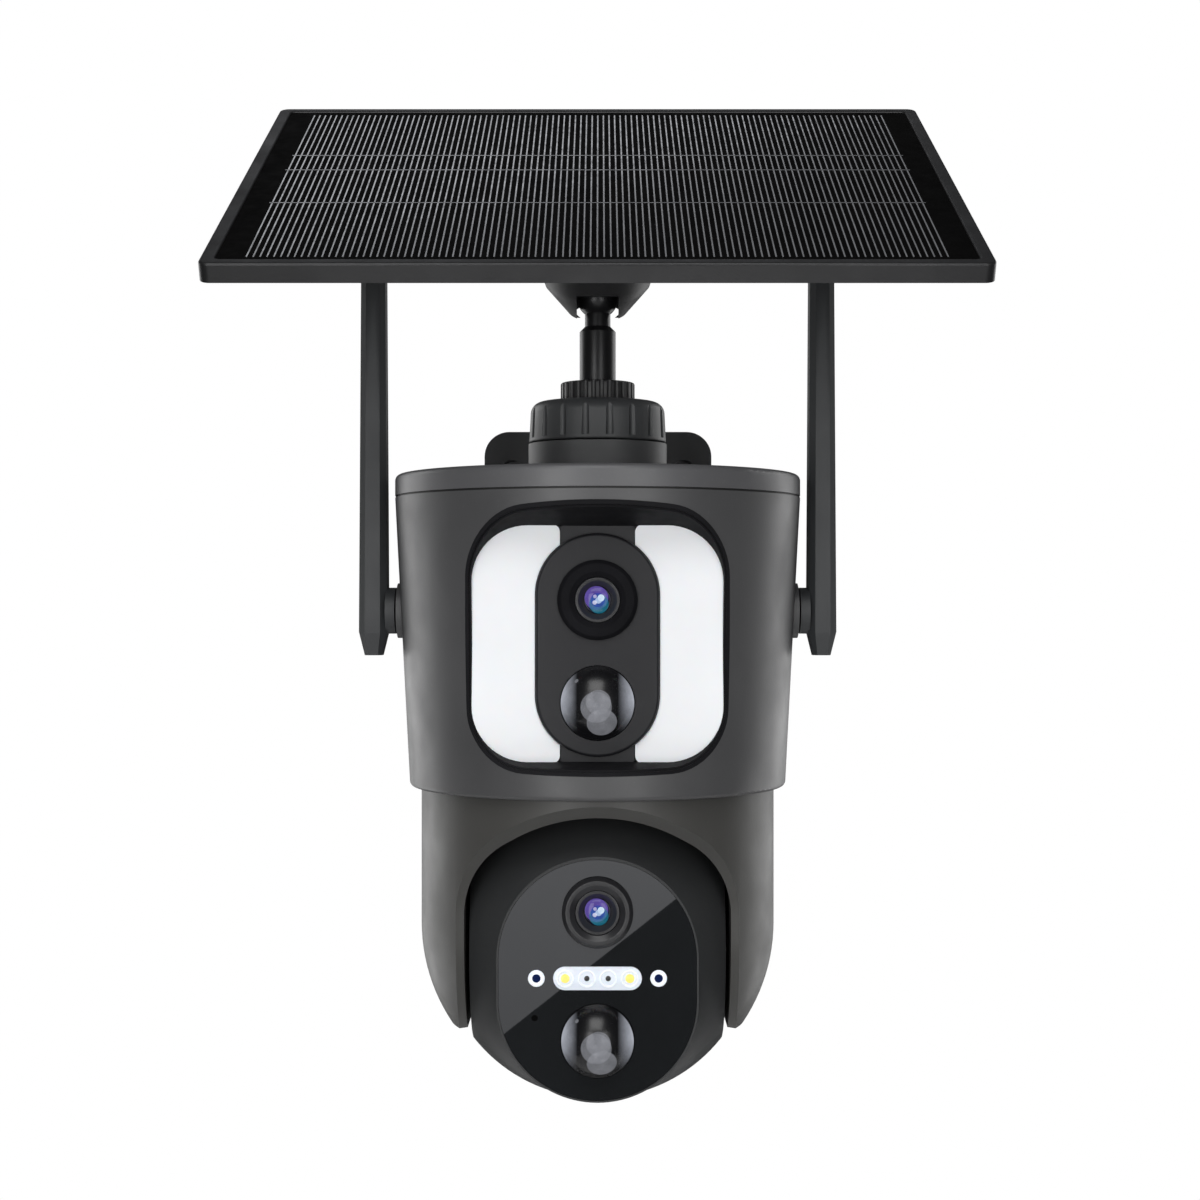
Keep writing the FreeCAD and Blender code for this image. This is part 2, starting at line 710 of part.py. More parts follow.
def service_cover():
    """Rubber flap, curved like the housing, with its hinge rod along the top."""
    flap = Piece("flap_form")
    middle = d.cap_radius - 4.0
    flap.turn([(middle - 2.6, -38), (middle - 0.55, -38), (middle + 1.0, -4), (middle - 1.0, -4)])
    window = Piece("flap_window")
    window.pad(14, rounded_box(as_size(19.4), -9.2, -33.4, 2.6), plane="XZ_Plane", at=-62)
    leaf = common("flap_leaf", flap.body, window.body)
    rod = solid("Cylinder", "flap_rod", Radius=1.3, Height=34, at=(-17, 55.2, -8.4), turn=FACING_RIGHT)
    bridge = block("flap_bridge", (-17, 54.6, -10.4), (17, 56.2, -8.4))
    keep(fuse("service_cover", leaf, rod, bridge), "service_cover")


# ---------------------------------------------------------------- gears

def gear_shape(teeth, module, thickness, bore):
    """Spur gear with short involute teeth and a little backlash, standing on the XY plane."""
    pitch = module * teeth / 2
    base = pitch * math.cos(math.radians(20))
    tip = pitch + 0.72 * module
    root = pitch - 1.05 * module
    half_tooth = (math.pi / 2 - 0.14) / teeth + involute(math.acos(base / pitch))
    flank = []
    for step in range(5):
        radius = max(base, root) + (tip - max(base, root)) * step / 4
        flank.append((radius, half_tooth - involute(math.acos(min(1, base / radius)))))
    if root < base:
        flank.insert(0, (root, flank[0][1] + 0.02))
    points = []
    for tooth in range(teeth):
        middle = 2 * math.pi * tooth / teeth
        for side, steps in ((-1, flank), (1, flank[::-1])):
            for radius, angle in steps:
                turn = middle + side * angle
                points.append(Vector(radius * math.cos(turn), radius * math.sin(turn), 0))
    face = Part.Face(Part.makePolygon(points + points[:1]))
    gear = face.extrude(Vector(0, 0, thickness))
    if bore:
        gear = gear.cut(Part.makeCylinder(bore, thickness))
    return gear


def involute(angle):
    return math.tan(angle) - angle


PAN_PINION_ANGLE = -30


def pan_drive():
    """Gear on the yoke's hub, the pinion beside it and the motor above the pinion."""
    module, thick = SIZES["gear_module"], SIZES["gear_thick"]
    teeth, small = SIZES["pan_teeth"], SIZES["pinion_teeth"]
    gear = group("pan_gear", [gear_shape(teeth, module, thick, SIZES["hub_radius"])])
    keep(gear, "pan_gear", (0, 0, d.gear_low))
    reach = module * (teeth + small) / 2 + 0.08
    angle = math.radians(PAN_PINION_ANGLE)
    x, y = reach * math.cos(angle), reach * math.sin(angle)
    pinion = gear_shape(small, module, thick, 0)
    pinion = pinion.fuse(Part.makeCylinder(2, 12, Vector(0, 0, thick)))
    pinion.rotate(Vector(), Vector(0, 0, 1), mesh_turn(PAN_PINION_ANGLE, teeth, small))
    keep(group("pan_pinion", [pinion]), "pan_pinion", (x, y, d.gear_low))
    motor = Piece("pan_motor")
    motor.pad(18, (0, 0, 10), at=0)
    motor.pad(2, [(-14, -3.5, 3), (14, -3.5, 3), (14, 3.5, 3), (-14, 3.5, 3)], at=0)
    motor.pocket(12, (0, 0, 2.05), at=-0.01)
    keep(motor.body, "pan_motor", (x, y, d.gear_low + thick + 1))


def mesh_turn(angle, teeth, small):
    """Turn that sets a pinion's gap on the gear's tooth along a line at this angle."""
    phase = (angle * teeth / 360) % 1
    return angle + 180 + 360 / small * (0.5 + phase)


# ---------------------------------------------------------------- antennas

def antennas():
    sockets = []
    for side, word in ((-1, "left"), (1, "right")):
        socket = Part.makeCylinder(8.2, 4.6, Vector(55.2, 0, SIZES["antenna_pivot"]), Vector(1, 0, 0))
        stub = Part.makeCylinder(3, 3.2, Vector(59.5, 0, SIZES["antenna_pivot"]), Vector(1, 0, 0))
        whole = socket.fuse(stub)
        if side < 0:
            whole.rotate(Vector(), Vector(0, 0, 1), 180)
        sockets.append(whole)
        antenna(side, word)
    housing_cone = Part.makeCone(SIZES["lip_radius"] + 0.02, SIZES["cap_radius"] + 0.02,
                                 SIZES["cap_low"] - SIZES["seal_thick"] - SIZES["lip_low"],
                                 Vector(0, 0, SIZES["lip_low"]))
    keep(group("antenna_sockets", [item.cut(housing_cone) for item in sockets]), "antenna_sockets")


def antenna(side, word):
    """Paddle antenna with chamfered edges on a round hub; its own origin is its pivot."""
    piece = Piece("blade_" + word)
    near, far = d.antenna_low - d.antenna_pivot, d.antenna_high - d.antenna_pivot
    levels = ((near, 0.62), (near + 7, 1.0), (far - 3, 0.86), (far, 0.62))
    sections = []
    for height, scale in levels:
        wide, deep = d.antenna_half * scale, d.antenna_depth * scale
        bevel = 1.9 * scale
        outline = [(-wide, -deep + bevel), (-wide + bevel, -deep),
                   (wide - bevel, -deep), (wide, -deep + bevel),
                   (wide, deep - bevel), (wide - bevel, deep),
                   (-wide + bevel, deep), (-wide, deep - bevel)]
        sections.append(piece.sketch(outline, at=height))
    loft = piece.feature("AdditiveLoft", sections[0])
    loft.Sections = sections[1:]
    loft.Ruled = True
    hub_start, hole_start = (-6.6, -6.7) if side > 0 else (3.8, 4.1)
    hub = solid("Cylinder", "hub_" + word, Radius=6.9, Height=2.8, at=(hub_start, 0, 0), turn=FACING_RIGHT)
    hole = solid("Cylinder", "pin_hole_" + word, Radius=3.05, Height=2.6, at=(hole_start, 0, 0),
                 turn=FACING_RIGHT)
    whole = cut("antenna_" + word, fuse("antenna_solid_" + word, piece.body, hub), hole)
    keep(whole, "antenna_" + word, (side * d.antenna_offset, 0, d.antenna_pivot))


# ---------------------------------------------------------------- panel stand

def nuts():
    """Ribbed collar nut on the cap's neck and knurled lock nut on the post."""
    nut = Piece("collar_nut")
    nut.turn([(d.neck_radius + 0.08, d.nut_low), (d.nut_radius, d.nut_low, 0.6),
              (d.nut_radius - 0.6, d.nut_high, 3.6), (d.post_radius + 0.08, d.nut_high),
              (d.post_radius + 0.08, d.nut_high - 1.9), (d.neck_radius + 0.08, d.nut_high - 1.9)])
    notch = nut.pocket(d.nut_high - d.nut_low, (d.nut_radius + 0.35, 0, 1.25), at=d.nut_low + 1.2)
    nut.around(notch, 18)
    keep(nut.body, "collar_nut")
    lock = Piece("lock_nut")
    lock.turn([(d.post_radius + 0.08, d.nut_high + 0.02), (d.lock_radius, d.nut_high + 0.02, 0.5),
               (d.lock_radius, d.lock_high, 0.7), (d.post_radius + 0.08, d.lock_high)])
    knurl = lock.pocket(d.lock_high - d.nut_high, (d.lock_radius + 0.35, 0, 0.8), at=d.nut_high)
    lock.around(knurl, 30)
    keep(lock.body, "lock_nut")


def panel_post():
    post = Piece("post_rod")
    drop = d.ball_height
    post.turn([(0, d.nut_high - 17.8), (d.post_radius, d.nut_high - 17.8, 0.6),
               (d.post_radius, d.post_high), (d.post_neck, d.post_high + 1.6),
               (d.post_neck, drop - 3), (0, drop - 3)])
    ball = solid("Sphere", "post_ball", Radius=d.ball_radius, at=(0, 0, drop))
    keep(fuse("post_and_ball", post.body, ball), "panel_post")


def ball_seat():
    """Nylon cup that grips the top of the ball and turns on it."""
    cup = solid("Sphere", "seat_form", Radius=d.ball_radius + 2.0)
    hollow = solid("Sphere", "seat_hollow", Radius=d.ball_radius + 0.05)
    below = block("seat_below", (-12, -12, -12), (12, 12, 1.2))
    keep(cut("ball_seat", cup, hollow, below), "ball_seat", (0, 0, d.ball_height))


def panel_piece(item, label):
    return keep(item, label, (0, 0, d.ball_height), PANEL_TURN)


def panel_socket():
    """Round foot screwed to the panel, with the conical socket that holds the ball."""
    body = Piece("socket_body")
    foot = d.foot_low
    body.turn([(0, -4.6), (8.4, -4.6, 1.2), (d.foot_radius - 3.6, 4.4), (d.foot_radius - 1.5, foot - 1),
               (d.foot_radius, foot + 1, 1), (d.foot_radius, d.box_low), (0, d.box_low)])
    bowl = solid("Sphere", "socket_bowl", Radius=d.ball_radius + 2.05)
    mouth = Piece("socket_mouth")
    mouth.turn([(0, -6), (5.6, -6), (5.6, -1), (0, -1)])
    slot = Piece("socket_slot")
    slot.pad(20, [(-20, -20), (0, 0), (-20, 8)], plane="YZ_Plane", at=-6.2)
    slot_body = common("socket_slot_cut", slot.body, block("slot_limit", (-6.2, -20, -20), (6.2, 0, 8)))
    neck_path = solid("Cone", "socket_sweep", Radius1=9.5, Radius2=4.2, Height=9, at=(0, 0, -10))
    panel_piece(cut("panel_socket", body.body, bowl, mouth.body, slot_body, neck_path), "panel_socket")


def lies_flat(edge, height):
    return max(abs(edge.BoundBox.ZMin - height), abs(edge.BoundBox.ZMax - height)) < 1e-3


def panel_pieces():
    top = d.panel_high
    rim = d.panel_rim
    floor = top - d.panel_thick
    half, deep = d.panel_half, d.panel_depth
    frame = Piece("panel_frame")
    frame.pad(d.panel_thick, rounded_box(half, deep, -deep, 3), at=floor)
    frame.pocket(d.panel_thick + 1, rounded_box(half - rim, deep - rim, -deep + rim, 1.5), at=floor + 1.2)
    frame.pocket(4, rounded_box(half - rim - 5, deep - rim - 5, -deep + rim + 5, 3), at=floor - 1)
    frame.soften(0.7, "Fillet", lambda edge: lies_flat(edge, SIZES["panel_high"])
                 and (edge.BoundBox.XLength + edge.BoundBox.YLength < 8
                      or abs(edge.BoundBox.Center.x) > SIZES["panel_half"] - 1
                      or abs(edge.BoundBox.Center.y) > SIZES["panel_depth"] - 1))
    panel_piece(frame.body, "panel_frame")
    inner_half, inner_deep = half - rim - 0.1, deep - rim - 0.1
    layers = (("panel_tray", floor + 1.2, floor + 2.2), ("cell_sheet", floor + 2.2, floor + 2.8),
              ("panel_glass", floor + 2.8, top - 0.3))
    for label, low, high in layers:
        layer = Piece(label)
        layer.pad(high - low, rounded_box(inner_half, inner_deep, -inner_deep, 1.4), at=low)
        panel_piece(layer.body, label)
    box = Piece("panel_back")
    low = d.box_low
    box.pad(floor - low, rounded_box(d.box_half, d.box_depth, -d.box_depth, 10), at=low)
    box.soften(3, "Fillet", lambda edge: lies_flat(edge, SIZES["box_low"]))
    panel_piece(box.body, "panel_back")


# ---------------------------------------------------------------- yoke

def yoke_form(name, radius, roof, low):
    """Solid of the yoke's outside or inside: a cylinder on a sphere, cut flat below."""
    pillar = disc(name + "_pillar", radius, d.yoke_round, roof)
    ball = solid("Sphere", name + "_ball", Radius=radius, at=(0, 0, d.yoke_round))
    keep_box = block(name + "_keep", (-60, -60, low), (60, 60, d.yoke_round + 1))
    return fuse(name, pillar, common(name + "_bowl", ball, keep_box))


ARCH_SLOPE = 30


def arch_outline(grow):
    """The opening in front of the head, moved outwards by grow: sloping shoulders and a round top."""
    half, radius, top_radius = d.arm_face + grow, d.arch_radius + grow, d.arch_top_radius + grow
    slope = math.radians(ARCH_SLOPE)
    peak = d.arch_high + grow + top_radius * (1 / math.cos(slope) - 1)
    shoulder = peak - half * math.tan(slope)
    return [(-half, -160), (half, -160), (half, shoulder, radius), (0, peak, top_radius),
            (-half, shoulder, radius)]


def on_yoke_front(edge):
    """Picks the edges where the arch meets the yoke's outer surface."""
    middle = edge.valueAt((edge.FirstParameter + edge.LastParameter) / 2)
    drop = min(middle.z - SIZES["yoke_round"], 0)
    outside = abs(math.hypot(middle.x, middle.y, drop) - SIZES["yoke_radius"]) < 0.02
    round_arch = abs(middle.x) < SIZES["arm_face"] + 0.2
    between = SIZES["yoke_low"] + 0.1 < middle.z < SIZES["arch_high"] + 0.1
    return outside and round_arch and between and middle.y < 0


def yoke_shell():
    inner_radius = d.yoke_radius - d.yoke_wall
    rim_radius = d.yoke_radius - d.arch_rim
    outer = yoke_form("yoke_outer", d.yoke_radius, d.yoke_roof, d.yoke_low)
    arch = Piece("yoke_arch")
    arch.pad(60, arch_outline(0), plane="XZ_Plane")
    edged = chamfer("yoke_edged", cut("yoke_opened", outer, arch.body), d.arch_bevel, on_yoke_front)
    inner = yoke_form("yoke_inner", inner_radius, d.yoke_ceiling, d.yoke_low + 2)
    core = yoke_form("yoke_core", rim_radius, d.yoke_ceiling, d.yoke_low + 2)
    rim = Piece("yoke_rim")
    rim.pad(60, arch_outline(4.5), plane="XZ_Plane")
    room = fuse("yoke_room", core, cut("yoke_behind_rim", inner, rim.body))
    channel = block("yoke_channel", (-d.arm_face, -60, -160), (d.arm_face, 60, -112))
    hub = disc("yoke_hub", d.hub_radius, d.yoke_roof - 1, d.gear_low + d.gear_thick, bore=as_size(5))
    wire_hole = disc("yoke_wires", 5, d.yoke_roof - 4, d.yoke_roof + 1)
    shell = cut("yoke_hollow", edged, room, channel, wire_hole)
    keep(fuse("yoke_shell", shell, hub), "yoke_shell")
    lining = yoke_form("lining_form", rim_radius - 0.05, d.yoke_ceiling, d.yoke_low + 2)
    slabs = []
    for side in (-1, 1):
        low_x, high_x = sorted([d.arm_face * side, (d.arm_face + d.arm_plate) * side],
                               key=lambda size: size.value)
        slabs.append(block(f"lining_slab_{side + 1}", (low_x, -60, -160), (high_x, 60, -56)))
    bores = [solid("Cylinder", f"lining_bore_{side + 1}", Radius=5.02, Height=10,
                   at=(side * 40 - 5, 0, d.tilt_height), turn=FACING_RIGHT) for side in (-1, 1)]
    keep(cut("arm_covers", common("arm_lining", lining, fuse("lining_slabs", *slabs)), *bores),
         "arm_covers")


TILT_PINION_ANGLE = 205


def tilt_drive():
    """Pivot pins in the arm covers, the gear fixed on the right one, its pinion and motor."""
    pins = []
    for side in (-1, 1):
        pin = Part.makeCylinder(5, 12, Vector(29, 0, 0), Vector(1, 0, 0))
        pin = pin.fuse(Part.makeCylinder(8, 1.6, Vector(40.0, 0, 0), Vector(1, 0, 0)))
        pin = pin.cut(Part.makeCylinder(3, 14, Vector(28, 0, 0), Vector(1, 0, 0)))
        if side < 0:
            pin.rotate(Vector(), Vector(0, 0, 1), 180)
        pins.append(pin)
    keep(group("tilt_pivots", pins), "tilt_pivots", (0, 0, d.tilt_height))
    module, teeth, small = SIZES["gear_module"], SIZES["tilt_teeth"], SIZES["pinion_teeth"]
    gear = gear_shape(teeth, module, 4, 5.0)
    keep(group("tilt_gear", [gear]), "tilt_gear", (29.2, 0, d.tilt_height), FACING_RIGHT)
    reach = module * (teeth + small) / 2 + 0.08
    angle = math.radians(TILT_PINION_ANGLE)
    pinion = gear_shape(small, module, 4, 0)
    pinion = pinion.fuse(Part.makeCylinder(2, 12, Vector(0, 0, -11)))
    pinion.rotate(Vector(), Vector(0, 0, 1), mesh_turn(TILT_PINION_ANGLE, teeth, small))
    along, across = reach * math.cos(angle), reach * math.sin(angle)
    spot = (29.2, across, d.tilt_height - along)
    keep(group("tilt_pinion", [pinion]), "tilt_pinion", spot, FACING_RIGHT)
    motor = Piece("tilt_motor")
    motor.pad(16, (0, 0, 9), at=-17)
    motor.pad(1.6, [(-13, -3, 2.5), (13, -3, 2.5), (13, 3, 2.5), (-13, 3, 2.5)], at=-2.6)
    motor.pocket(12, (0, 0, 2.05), at=-12.5)
    keep(motor.body, "tilt_motor", spot, FACING_RIGHT)


# ---------------------------------------------------------------- tilting head

def head_form(name, inset):
    """The head's outside moved inwards by inset: a ball with flat cheeks and the chin below."""
    radius = d.head_radius - inset
    half = d.head_half - inset
    front = d.head_front - inset
    ball = solid("Sphere", name + "_ball", Radius=radius)
    limits = block(name + "_limits", (-half, -front, -60), (half, 60, 60))
    chin = Piece(name + "_chin")
    reach = d.chin_half - inset
    chin.pad(front - 4, rounded_box(reach, d.window_high + reach, d.window_low - reach, reach - 0.01),
             plane="XZ_Plane", at=4)
    return fuse(name, common(name + "_cut_ball", ball, limits), chin.body)


def head_shells():
    wall = d.head_wall
    outer = head_form("head_outer", as_size(0))
    inner = head_form("head_inner", wall)
    window = Piece("head_window_seat")
    reach = d.window_half + 0.1
    high = d.window_high + d.window_half
    low = d.window_low - d.window_half
    window.pad(4, rounded_box(reach, high + 0.1, low - 0.1, reach - 0.01), plane="XZ_Plane",
               at=d.head_front - 1.8)
    window.pad(6, rounded_box(reach - 2.5, high - 2.4, low + 2.4, reach - 2.6), plane="XZ_Plane",
               at=d.head_front - 5)
    bores = solid("Cylinder", "head_bores", Radius=5.05, Height=90, at=(-45, 0, 0), turn=FACING_RIGHT)
    ear = cut("head_whole", outer, inner, window.body, bores)
    split = 7.0
    front_box = block("head_front_box", (-60, -60, -70), (60, split - 0.1, 70))
    rear_box = block("head_rear_box", (-60, split, -70), (60, 60, 70))
    at = (0, 0, d.tilt_height)
    keep(common("head_front_shell", ear, front_box), "head_front_shell", at)
    keep(common("head_rear_shell", ear, rear_box), "head_rear_shell", at)
    glass = Piece("front_window")
    glass.pad(1.7, rounded_box(d.window_half, high, low, d.window_half - 0.01), plane="XZ_Plane",
              at=d.head_front - 1.75)
    glass.pocket(4, (0, d.low_lens, d.barrel_radius + 0.12), plane="XZ_Plane", at=d.head_front - 3)
    glass.pocket(4, (0, d.low_dome, d.dome_radius + 0.12), plane="XZ_Plane", at=d.head_front - 3)
    keep(glass.body, "front_window", at)


def head_contents():
    board = Piece("led_board")
    board.pad(1.4, rounded_box(as_size(25), 6, -14, 5), plane="XZ_Plane", at=29.5)
    board.pocket(4, (0, d.low_lens, d.lens_ring), plane="XZ_Plane", at=28)
    keep(board.body, "led_board", (0, 0, d.tilt_height))
    leds = []
    height = SIZES["led_row"]
    for x in (-9.1, -3.0, 3.0, 9.1):
        led = Part.makeCylinder(1.9, 3.4, Vector(x, -31.1, height), Vector(0, -1, 0))
        leds.append(led)
    for x in (-17.2, 17.2):
        leds.append(Part.makeCylinder(2.2, 3.4, Vector(x, -31.1, height), Vector(0, -1, 0)))
    keep(group("head_leds", leds), "head_leds", (0, 0, d.tilt_height))
    board = Piece("camera_board")
    board.pad(1.6, rounded_box(as_size(12), 25, -4, 2), plane="XZ_Plane", at=17)
    keep(board.body, "camera_board", (0, 0, d.tilt_height))


def build():
    wall_bracket()
    top_cap()
    cap_screws()
    upper_housing()
    insert_panel()
    lens_capsule()
    lens("upper", (0, 0, 0), d.capsule_front, d.lens_ring)
    motion_dome("upper", (0, -d.capsule_front, d.upper_dome_height))
    light_board()
    base_plate()
    housing_internals()
    service_bay()
    push_button("power_button", *BUTTON_SPOTS[0])
    push_button("reset_button", *BUTTON_SPOTS[1])
    service_cover()
    pan_drive()
    antennas()
    nuts()
    panel_post()
    ball_seat()
    panel_socket()
    panel_pieces()
    yoke_shell()
    tilt_drive()
    head_shells()
    lens("lower", (0, 0, d.tilt_height + d.low_lens), d.head_front, d.low_lens_ring)
    motion_dome("lower", (0, -d.head_front, d.tilt_height + d.low_dome))
    head_contents()


def check_and_write():
    doc.recompute()
    failed = [item.Label for item in doc.Objects if {"Invalid", "Error"} & set(item.State)]
    if failed:
        raise RuntimeError(f"failed: {failed}")
    for item in PARTS:
        shape = item.Shape
        if shape.isNull() or not shape.isValid() or not shape.Solids:
            raise RuntimeError(f"{item.Label} has no valid solid")
    os.makedirs("parts", exist_ok=True)
    for item in PARTS:
        item.Shape.exportStep(f"parts/{item.Label}.step")


build()
check_and_write()
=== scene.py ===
import json
import math

import bmesh
import bpy
from mathutils import Matrix, Vector


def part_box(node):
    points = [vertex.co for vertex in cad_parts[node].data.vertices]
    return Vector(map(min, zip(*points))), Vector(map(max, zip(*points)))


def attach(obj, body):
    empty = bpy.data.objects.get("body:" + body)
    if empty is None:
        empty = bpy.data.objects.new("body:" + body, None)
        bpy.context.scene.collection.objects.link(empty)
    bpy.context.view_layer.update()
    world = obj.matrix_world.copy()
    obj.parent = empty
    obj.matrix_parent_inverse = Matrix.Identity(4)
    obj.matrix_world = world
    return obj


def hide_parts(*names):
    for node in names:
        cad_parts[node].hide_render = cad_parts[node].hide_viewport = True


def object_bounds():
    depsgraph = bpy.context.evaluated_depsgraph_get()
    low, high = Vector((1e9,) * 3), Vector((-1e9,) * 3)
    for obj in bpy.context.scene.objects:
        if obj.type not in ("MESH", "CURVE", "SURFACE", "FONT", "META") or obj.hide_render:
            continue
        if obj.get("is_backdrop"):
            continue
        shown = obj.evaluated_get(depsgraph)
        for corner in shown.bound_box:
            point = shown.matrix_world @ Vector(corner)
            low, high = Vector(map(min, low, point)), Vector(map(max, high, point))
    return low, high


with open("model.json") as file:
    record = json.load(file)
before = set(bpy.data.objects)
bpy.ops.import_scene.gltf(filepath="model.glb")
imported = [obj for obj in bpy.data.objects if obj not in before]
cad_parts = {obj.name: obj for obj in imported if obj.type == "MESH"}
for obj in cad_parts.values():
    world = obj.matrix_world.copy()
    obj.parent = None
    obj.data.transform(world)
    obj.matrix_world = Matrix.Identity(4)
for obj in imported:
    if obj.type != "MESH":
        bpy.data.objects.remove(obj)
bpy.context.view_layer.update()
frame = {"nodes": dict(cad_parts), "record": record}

MM = 0.001
NODES = frame["nodes"]


# ---------------------------------------------------------------- places, read from the frame

def middle(node):
    low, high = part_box(node)
    return (low + high) / 2


def front_of(node):
    """Middle of a node's box, moved to its frontmost face (the camera faces -Y)."""
    point = middle(node)
    point.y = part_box(node)[0].y
    return point


AXIS = middle("lock_nut")
UPPER_LENS = front_of("upper_lens_ring")
LOWER_LENS = front_of("lower_lens_ring")
WINDOW = front_of("front_window")


# ---------------------------------------------------------------- materials

class Look:
    """A node material on one Principled shader, with object coordinates for all its detail."""

    def __init__(self, name):
        self.material = bpy.data.materials.new(name)
        self.material.use_nodes = True
        self.tree = self.material.node_tree
        self.shader = self.tree.nodes["Principled BSDF"]
        self.place = self.tree.nodes.new("ShaderNodeTexCoord").outputs["Object"]

    def link(self, output, target):
        self.tree.links.new(output, target)

    def node(self, kind, **values):
        node = self.tree.nodes.new("ShaderNode" + kind)
        for name, value in values.items():
            node.inputs[name.replace("_", " ")].default_value = value
        return node

    def noise(self, per_metre, detail=3.0, roughness=0.55):
        noise = self.node("TexNoise", Scale=per_metre, Detail=detail, Roughness=roughness)
        self.link(self.place, noise.inputs["Vector"])
        return noise.outputs["Fac"]

    def cells(self, per_metre):
        cells = self.node("TexVoronoi", Scale=per_metre)
        self.link(self.place, cells.inputs["Vector"])
        return cells.outputs["Distance"]

    def spread(self, output, low, high, start=0.3, end=0.7):
        """Map a texture from start..end to low..high."""
        mapped = self.node("MapRange")
        for name, value in zip(("From Min", "From Max", "To Min", "To Max"), (start, end, low, high)):
            mapped.inputs[name].default_value = value
        self.link(output, mapped.inputs["Value"])
        return mapped.outputs["Result"]

    def blend(self, factor, first, second):
        """Mix two colours by a 0..1 output."""
        mix = self.tree.nodes.new("ShaderNodeMix")
        mix.data_type = "RGBA"
        self.link(factor, mix.inputs["Factor"])
        for socket, value in ((mix.inputs[6], first), (mix.inputs[7], second)):
            if isinstance(value, bpy.types.NodeSocket):
                self.link(value, socket)
            else:
                socket.default_value = (*value, 1)
        return mix.outputs[2]

    def bump(self, height, strength, distance):
        bump = self.node("Bump", Strength=strength, Distance=distance)
        self.link(height, bump.inputs["Height"])
        if self.shader.inputs["Normal"].links:
            self.link(self.shader.inputs["Normal"].links[0].from_socket, bump.inputs["Normal"])
        self.link(bump.outputs["Normal"], self.shader.inputs["Normal"])

    def set(self, **values):
        for name, value in values.items():
            self.shader.inputs[name.replace("_", " ")].default_value = value


def scaled(color, factor):
    return tuple(min(1.0, value * factor) for value in color)


def moulded(name, color, roughness=0.45, grain=2600, grain_strength=0.25, tone=0.12, metal=0.0,
            specular=0.5):
    """Moulded plastic or coated metal: fine grain, slight tone and gloss changes, faint dust."""
    look = Look(name)
    broad = look.spread(look.noise(22, 4), 0, 1)
    base = look.blend(broad, scaled(color, 1 - tone), scaled(color, 1 + tone))
    dust = look.spread(look.noise(900, 5, 0.7), 0, 0.35, 0.58, 0.78)
    dusty = look.blend(dust, base, scaled(color, 1.5))
    look.link(dusty, look.shader.inputs["Base Color"])
    look.link(look.spread(look.noise(60, 5), roughness - 0.06, roughness + 0.07),
              look.shader.inputs["Roughness"])
    look.bump(look.noise(grain, 2), grain_strength, 0.00006)
    look.bump(look.cells(grain * 0.45), grain_strength * 0.5, 0.00005)
    look.set(Metallic=metal)
    look.set(**{"Specular_IOR_Level": specular})
    return look.material


def glossy(name, color, roughness=0.06, coat=1.0, smear=0.05):
    """Polished plastic or glass with smears and a slight waviness, under a clear coat if asked."""
    look = Look(name)
    base = look.blend(look.spread(look.noise(35, 4), 0, 1), scaled(color, 0.85), scaled(color, 1.15))
    look.link(base, look.shader.inputs["Base Color"])
    look.link(look.spread(look.noise(180, 6, 0.65), roughness, roughness + smear),
              look.shader.inputs["Roughness"])
    look.bump(look.noise(40, 2), 0.02, 0.0002)
    look.set(Coat_Weight=coat, Coat_Roughness=roughness)
    return look.material


def dull_glass(name, color):
    """Etched cover glass over black: almost no mirror image, faint cloudy dust."""
    look = Look(name)
    cloud = look.spread(look.noise(40, 4), 0, 1)
    look.link(look.blend(cloud, color, scaled(color, 1.8)), look.shader.inputs["Base Color"])
    look.link(look.spread(look.noise(220, 5), 0.5, 0.65), look.shader.inputs["Roughness"])
    look.set(**{"Specular_IOR_Level": 0.03})
    return look.material


def glint(name, color, glow, alpha):
    """Painted reflection: a see-through glowing patch, cloudy like a soft reflection on a polished dome."""
    look = Look(name)
    cloud = look.spread(look.noise(500, 3), 0, 1)
    look.link(look.blend(cloud, scaled(color, 0.85), scaled(color, 1.1)),
              look.shader.inputs["Emission Color"])
    look.set(**{"Specular_IOR_Level": 0.0})
    look.set(Emission_Strength=glow, Alpha=alpha, Roughness=0.4)
    look.link(look.blend(cloud, scaled(color, 0.1), scaled(color, 0.15)), look.shader.inputs["Base Color"])
    return look.material


def metal(name, color, roughness=0.3, grain=1500):
    """Plated metal with a fine grain and uneven gloss."""
    look = Look(name)
    base = look.blend(look.spread(look.noise(80, 5), 0, 1), scaled(color, 0.82), scaled(color, 1.1))
    look.link(base, look.shader.inputs["Base Color"])
    look.link(look.spread(look.noise(400, 6), roughness - 0.08, roughness + 0.12),
              look.shader.inputs["Roughness"])
    look.bump(look.noise(grain, 3), 0.15, 0.00005)
    look.set(Metallic=1.0)
    return look.material


def milky(name, color, glow=0.0):
    """Light-scattering white plastic with a fine frost."""
    look = Look(name)
    base = look.blend(look.spread(look.noise(30, 3), 0, 1), scaled(color, 0.97), scaled(color, 1.02))
    look.link(base, look.shader.inputs["Base Color"])
    look.link(look.spread(look.noise(300, 4), 0.28, 0.4), look.shader.inputs["Roughness"])
    look.bump(look.cells(2200), 0.08, 0.00005)
    look.set(Subsurface_Weight=0.12, Subsurface_Scale=0.002, Coat_Weight=0.25, Coat_Roughness=0.2)
    # a glow makes the plastic shine by itself: on parts that are no lamp this is painted light
    look.set(Emission_Strength=glow, Emission_Color=(*color, 1))
    return look.material


def board(name, color):
    """Circuit board: solder mask with raised tracks."""
    look = Look(name)
    tracks = look.spread(look.cells(420), 0, 1, 0.25, 0.3)
    base = look.blend(tracks, scaled(color, 0.6), scaled(color, 1.4))
    look.link(base, look.shader.inputs["Base Color"])
    look.bump(tracks, 0.2, 0.0001)
    look.set(Roughness=0.35, Coat_Weight=0.4)
    return look.material


